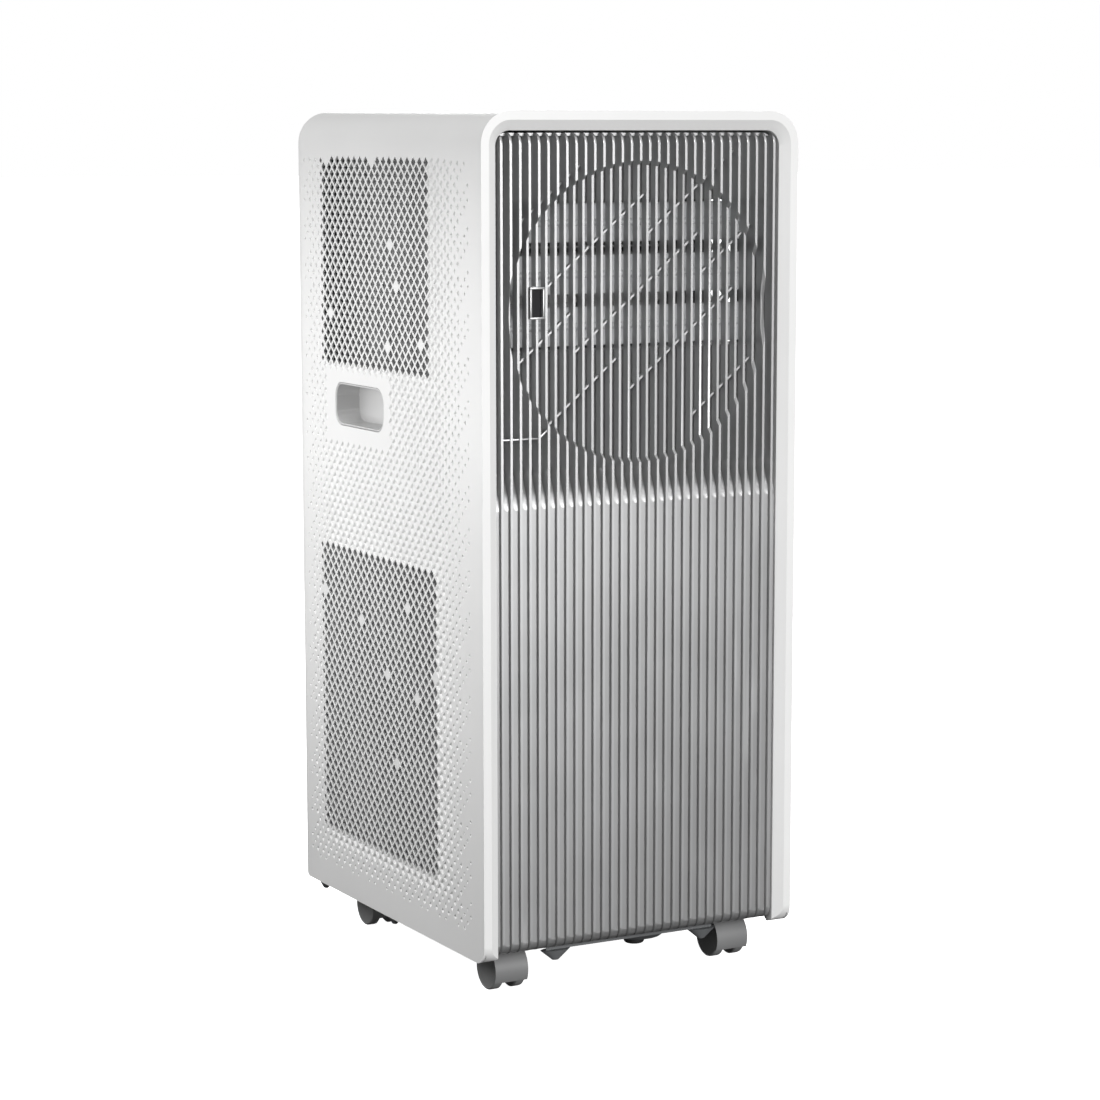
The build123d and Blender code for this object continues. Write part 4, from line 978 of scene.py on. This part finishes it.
def rounded_loop(
    work: Workpiece, centre: Vector, length: float, height: float, radius: float, steps: int = 8
) -> list[bmesh.types.BMEdge]:
    """Adds the outline of a rounded rectangle in the plane across X.

    Args:
        work: The mesh to add it to.
        centre: Its middle.
        length: Its size along Y.
        height: Its size along Z.
        radius: Its corner radius.
        steps: Edges in each corner.

    Returns:
        The outline's edges.
    """
    ends = []
    for turn, (sign_y, sign_z) in enumerate(((1, 1), (-1, 1), (-1, -1), (1, -1))):
        pivot = centre + Vector((0, sign_y * (length / 2 - radius), sign_z * (height / 2 - radius)))
        for step in range(steps + 1):
            angle = (turn + step / steps) * math.pi / 2
            place = pivot + Vector((0, math.cos(angle), math.sin(angle))) * radius
            ends.append(work.mesh.verts.new(place))
    return [work.mesh.edges.new(pair) for pair in zip(ends, ends[1:] + ends[:1])]


# ---------------------------------------------------------------- grille
@dataclass
class CornerTie:
    """The level tie bar at the dish's lower left, set just behind the fin fronts."""

    wardrobe: Wardrobe
    fin_front: float = -185.3
    setback: float = 1.0
    left: float = -129.3  # the first fin
    bend: float = -94.8  # where the bar starts to climb
    right: float = -86.2
    height: float = 470.3
    climb: float = 7.1
    thick: float = 1.5
    depth: float = 2.2
    edge: float = 0.3  # bevel

    def build(self) -> None:
        """Makes the level bar and its climbing end."""
        work = Workpiece("corner_tie")
        front = self.fin_front + self.setback
        half = self.thick / 2
        work.block(
            Vector((self.left, front, self.height - half)),
            Vector((self.bend, front + self.depth, self.height + half)),
            self.edge,
        )
        run = self.right - self.bend
        length = math.hypot(run, self.climb)
        end = work.block(Vector((0, 0, -half)), Vector((length, self.depth, half)), self.edge)
        tilt = Matrix.Rotation(-math.atan2(self.climb, run), 4, "Y")
        place = Matrix.Translation((self.bend, front, self.height)) @ tilt
        bmesh.ops.transform(work.mesh, matrix=place, verts=end)
        work.finish("cabinet", "grille_silver", self.wardrobe["grille_silver"])


# ---------------------------------------------------------------- intake filters
def lay_grid(work: Workpiece, low: Vector, high: Vector, across: tuple[int, int], strand: float) -> None:
    """Lays an open grid in the plane across X that the two corners share.

    Args:
        work: The mesh to lay it in.
        low: Its lowest corner.
        high: Its highest corner.
        across: Openings along Y and along Z.
        strand: Half the width left between two openings.
    """
    size = high - low
    shape = Matrix.Diagonal((1.0, size.y, size.z, 1.0))
    stand = Matrix.Rotation(math.radians(90), 4, "Y")
    place = Matrix.Translation((low + high) / 2) @ shape @ stand
    made = bmesh.ops.create_grid(
        work.mesh, x_segments=across[1], y_segments=across[0], size=0.5, matrix=place
    )["verts"]
    cells = list({f for v in made for f in v.link_faces})
    bmesh.ops.inset_individual(work.mesh, faces=cells, thickness=strand, use_even_offset=True)
    bmesh.ops.delete(work.mesh, geom=cells, context="FACES")


@dataclass(frozen=True)
class Net:
    """Fine dust net, by the spacing, half width and thickness of its strands in millimetres."""

    pitch: float = 3.1
    strand: float = 1.15
    thickness: float = 0.6

    def stretch(self, work: Workpiece, x: float, low: Vector, high: Vector) -> None:
        """Fills a rectangle across X with net.

        Args:
            work: The mesh to lay it in.
            x: Where the net is.
            low: The rectangle's lowest corner.
            high: Its highest corner.
        """
        corners = [Vector((x, corner.y, corner.z)) for corner in (low, high)]
        across = (round((high.y - low.y) / self.pitch), round((high.z - low.z) / self.pitch))
        lay_grid(work, *corners, across, self.strand)


@dataclass
class IntakeFilter:
    """A slide-out filter: a ribbed frame with a fine net stretched over it."""

    side: Side
    wardrobe: Wardrobe
    rib: float = 1.6
    columns: int = 6
    rows: int = 4
    net: Net = Net()

    def build(self) -> None:
        """Makes the frame and its net."""
        node = f"{self.side.word}_intake_filter"
        box = Span.of(node)
        body = f"filter_{self.side.word}"
        grey = self.wardrobe["filter_grey"]
        ribs = Workpiece(f"filter_frame_{self.side.word}")
        front = Vector((box.high.x, box.low.y, box.low.z))
        lay_grid(ribs, front, box.high, (self.columns, self.rows), self.rib)
        thicken(ribs.finish(body, "filter_grey", grey, (node,), recalc=False), box.size.x)
        mesh = Workpiece(f"filter_net_{self.side.word}")
        self.net.stretch(mesh, box.centre.x, box.low, box.high)
        thicken(mesh.finish(body, "filter_grey", grey, recalc=False), self.net.thickness)


@dataclass
class LowerScreen:
    """A fixed dust net on the inside of the side wall, behind the lower intake."""

    side: Side
    wardrobe: Wardrobe
    inset: float = 3.4  # from the cabinet's side to the net
    margin: float = 5.0
    net: Net = Net()

    def build(self) -> None:
        """Makes the net."""
        zone = SidePanel.lower
        x = self.side.value * (CAD_BOX[1].x / MM - self.inset)
        low = Vector((x, zone.low_y - self.margin, zone.low_z - self.margin))
        high = Vector((x, zone.high_y + self.margin, zone.high_z + self.margin))
        work = Workpiece(f"lower_screen_{self.side.word}")
        self.net.stretch(work, x, low, high)
        grey = self.wardrobe["filter_grey"]
        thicken(work.finish("cabinet", "filter_grey", grey, recalc=False), self.net.thickness)


# ---------------------------------------------------------------- receiver window
@dataclass
class ReceiverBezel:
    """The raised silver rim round the receiver window."""

    wardrobe: Wardrobe
    overhang: float = 1.5  # past the window's sides
    bar: float = 1.7
    depth: float = 1.6
    edge: float = 0.35  # bevel

    def build(self) -> None:
        """Makes the rim from four bars."""
        box = Span.of("receiver_window")
        left, right = box.low.x - self.overhang, box.high.x + self.overhang
        front, back = box.low.y - self.depth, box.low.y
        low, high = box.low.z, box.high.z
        work = Workpiece("receiver_bezel")
        for bottom, top in ((low, low + self.bar), (high - self.bar, high)):
            work.block(Vector((left, front, bottom)), Vector((right, back, top)), self.edge)
        for start, end in ((left, left + self.bar), (right - self.bar, right)):
            foot, head = Vector((start, front, low + self.bar)), Vector((end, back, high - self.bar))
            work.block(foot, head, self.edge)
        work.finish("cabinet", "grille_silver", self.wardrobe["grille_silver"])


# ---------------------------------------------------------------- casters
@dataclass
class CasterWheels:
    """The two wheels of one caster with the axle that joins them."""

    corner: Corner
    wardrobe: Wardrobe
    axle_radius: float = 2.5
    inner_gap: float = 6.0  # from the caster's middle to a wheel's inner face
    outer_limit: float = 15.5  # most that the outer face is from the middle
    dish: float = 0.35
    rim: float = 1.6
    rim_slope: float = 0.3
    shoulder: float = 1.5
    shoulder_steps: int = 3
    heel: float = 1.0  # bevel of the tread's inner edge
    cap: float = 3.0  # how far the hub's cap reaches in
    press: float = 0.2  # how far the hub bites into the axle
    axle_end: float = 0.5  # how far the axle runs into a wheel
    centre_hole: float = 0.05  # keeps a turned section off its axis
    steps: int = 64

    def profile(self, radius: float, outer: float, sign: int) -> list[tuple[float, float]]:
        """One wheel's closed section: a round-shouldered tread and a shallow flat cap.

        Args:
            radius: The wheel's radius.
            outer: Its outer face's distance from the caster's middle.
            sign: The side that it is on.

        Returns:
            Points of the section, each an offset and a radius.
        """
        corners = []
        for step in range(self.shoulder_steps + 1):
            angle = step / self.shoulder_steps * math.pi / 2
            offset = outer - self.shoulder + self.shoulder * math.sin(angle)
            corners.append((offset, radius - self.shoulder + self.shoulder * math.cos(angle)))
        section = [
            (self.inner_gap, self.axle_radius - self.press),
            (self.inner_gap, radius - self.heel),
            (self.inner_gap + self.heel, radius),
            *corners,
            (outer, radius - self.rim),
            (outer - self.dish, radius - self.rim - self.rim_slope),
            (outer - self.dish, self.centre_hole),
            (outer - self.cap, self.centre_hole),
            (outer - self.cap, self.axle_radius - self.press),
        ]
        return [(sign * offset, r) for offset, r in section]

    def build(self) -> None:
        """Makes both wheels and the axle as one turning piece."""
        node = f"caster_wheels_{self.corner.value}"
        box = Span.of(node)
        radius = box.size.z / 2
        outer = min(box.size.x / 2, self.outer_limit)
        work = Workpiece(f"wheels_{self.corner.value}")
        for sign in (-1, 1):
            self.turn(work, self.profile(radius, outer, sign), box.centre)
        reach = self.inner_gap + self.axle_end
        core, skin = self.centre_hole, self.axle_radius
        self.turn(work, [(-reach, core), (-reach, skin), (reach, skin), (reach, core)], box.centre)
        work.finish(f"wheels_{self.corner.value}", "caster_black", self.wardrobe["caster_black"], (node,))

    def turn(self, work: Workpiece, section: list[tuple[float, float]], centre: Vector) -> None:
        """Turns one section in a mesh of its own and adds it.

        Args:
            work: The mesh to add it to.
            section: Points of the section, each an offset and a radius.
            centre: The point on the axis where the offset is 0.
        """
        part = Workpiece("turned")
        part.lathe(section, centre, self.steps)
        data = bpy.data.meshes.new("turned")
        part.mesh.to_mesh(data)
        part.mesh.free()
        work.mesh.from_mesh(data)
        bpy.data.meshes.remove(data)


# ---------------------------------------------------------------- edges of the frame's own parts
@dataclass(frozen=True)
class SoftEdges:
    """Small rounds on the edges of a part of the frame, as a mould leaves them."""

    node: str
    width: float
    segments: int = 2
    angle: float = 35.0
    flat_angle: float = 0.5  # faces that differ by less, in degrees, are one

    def add(self) -> None:
        """Adds the modifiers that merge, clean and round the part."""
        part = frame["nodes"][self.node]
        weld = part.modifiers.new("weld", "WELD")
        weld.merge_threshold = WELD * MM
        clean = part.modifiers.new("flat_faces", "DECIMATE")
        clean.decimate_type = "DISSOLVE"
        clean.angle_limit = math.radians(self.flat_angle)
        rounding = part.modifiers.new("soft_edges", "BEVEL")
        rounding.width = self.width * MM
        rounding.segments = self.segments
        rounding.limit_method = "ANGLE"
        rounding.angle_limit = math.radians(self.angle)
        rounding.harden_normals = True


SOFT_EDGES = [
    SoftEdges("front_frame", 1.0, 3),
    SoftEdges("front_grille", 0.45),
    SoftEdges("left_handle_cup", 0.8),
    SoftEdges("right_handle_cup", 0.8),
    SoftEdges("control_panel", 0.4),
]


# ---------------------------------------------------------------- studio
@dataclass(frozen=True)
class Lamp:
    """A soft rectangular light, by its place and size in metres and its power in watts."""

    name: str
    place: Colour
    width: float
    height: float
    power: float

    def hang(self, target: Vector) -> None:
        """Adds the light to the scene.

        Args:
            target: Where it is aimed.
        """
        light = bpy.data.lights.new(self.name, "AREA")
        light.shape = "RECTANGLE"
        light.size = self.width
        light.size_y = self.height
        light.energy = self.power
        lamp = bpy.data.objects.new(self.name, light)
        lamp.location = self.place
        lamp.rotation_euler = (target - lamp.location).to_track_quat("-Z", "Y").to_euler()
        lamp.visible_camera = False
        bpy.context.scene.collection.objects.link(lamp)


LAMPS = [
    Lamp("side_light", (-0.60, 0.12, 0.48), 1.3, 0.35, 3.5),
    Lamp("front_light", (0.45, -3.0, 0.75), 1.2, 1.4, 62.0),
    Lamp("back_light", (1.1, 1.5, 0.9), 1.2, 1.2, 26.0),
]


@dataclass
class Studio:
    """Pale floor, soft lights and the camera."""

    target: Vector = Vector((0.0, 0.0, 0.37))
    lens: float = 99.75
    camera_place: Vector = Vector((-1.2658, -2.3677, 0.7216))
    turn: float = -28.854  # degrees about the upright
    dip: float = 8.381  # degrees below level
    shift_x: float = -0.0214
    shift_y: float = 0.0241
    sky_low: float = 0.02  # light from below the horizon
    sky_high: float = 0.33  # light from above
    sky_fade: tuple[float, float] = (-0.2, 0.1)
    sky_crown: float = 0.7  # more light from overhead
    crown_fade: tuple[float, float] = (0.25, 0.95)
    floor_size: float = 40.0  # from the middle to an edge, in metres
    floor_glow: float = 1.0

    def floor(self) -> None:
        """Lays a wide pale floor."""
        plane = bmesh.new()
        bmesh.ops.create_grid(plane, x_segments=1, y_segments=1, size=self.floor_size)
        data = bpy.data.meshes.new("studio_floor")
        plane.to_mesh(data)
        plane.free()
        shader = Shader("studio_floor")
        colour = shader.blend((0.90, 0.90, 0.90), (0.88, 0.88, 0.88), shader.noise(2.0))
        glow = {"emission_color": (1.0, 1.0, 1.0, 1.0), "emission_strength": self.floor_glow}
        data.materials.append(shader.finish(base_color=colour, roughness=0.9, **glow))
        floor = bpy.data.objects.new("studio_floor", data)
        floor.visible_diffuse = False
        floor.visible_glossy = False
        bpy.context.scene.collection.objects.link(floor)

    def sky(self) -> None:
        """Fills the room with light that fades from above to below, in front of a white backdrop."""
        world = bpy.data.worlds.new("studio")
        world.use_nodes = True
        maker = NodeMaker(world.node_tree)
        direction = maker.node("ShaderNodeTexCoord").outputs["Generated"]
        height = Value(maker, maker.node("ShaderNodeSeparateXYZ", None, {0: direction}).outputs["Z"])
        light = height.ramp(*self.sky_fade) * (self.sky_high - self.sky_low) + self.sky_low
        light = light + height.ramp(*self.crown_fade) * self.sky_crown
        seen = Value(maker, maker.node("ShaderNodeLightPath").outputs["Is Camera Ray"])
        background = world.node_tree.nodes["Background"]
        maker.feed(background.inputs["Color"], (1.0, 1.0, 1.0, 1.0))
        maker.feed(background.inputs["Strength"], seen + (1 - seen) * light)
        bpy.context.scene.world = world

    def camera(self) -> None:
        """Sets the camera up."""
        data = bpy.data.cameras.new("camera")
        data.lens = self.lens
        data.sensor_width = 36.0
        data.shift_x = self.shift_x
        data.shift_y = self.shift_y
        data.clip_end = 100.0
        camera = bpy.data.objects.new("camera", data)
        camera.location = self.camera_place
        camera.rotation_euler = (math.radians(90.0 - self.dip), 0.0, math.radians(self.turn))
        bpy.context.scene.collection.objects.link(camera)
        bpy.context.scene.camera = camera

    def build(self) -> None:
        """Sets up floor, lights, camera and a plain colour response."""
        self.floor()
        self.sky()
        for lamp in LAMPS:
            lamp.hang(self.target)
        self.camera()
        bpy.context.scene.view_settings.view_transform = "Standard"


def main() -> None:
    """Builds the studio, dresses the frame and makes the detailed pieces."""
    logging.basicConfig(level=logging.INFO, format="%(name)s %(message)s")
    Studio().build()
    wardrobe = Wardrobe()
    wardrobe.dress_frame()
    for side in Side:
        SidePanel(side, wardrobe).build()
        IntakeFilter(side, wardrobe).build()
        LowerScreen(side, wardrobe).build()
    ReceiverBezel(wardrobe).build()
    CornerTie(wardrobe).build()
    for corner in Corner:
        CasterWheels(corner, wardrobe).build()
    for edges in SOFT_EDGES:
        edges.add()


if __name__ == "__main__":
    main()
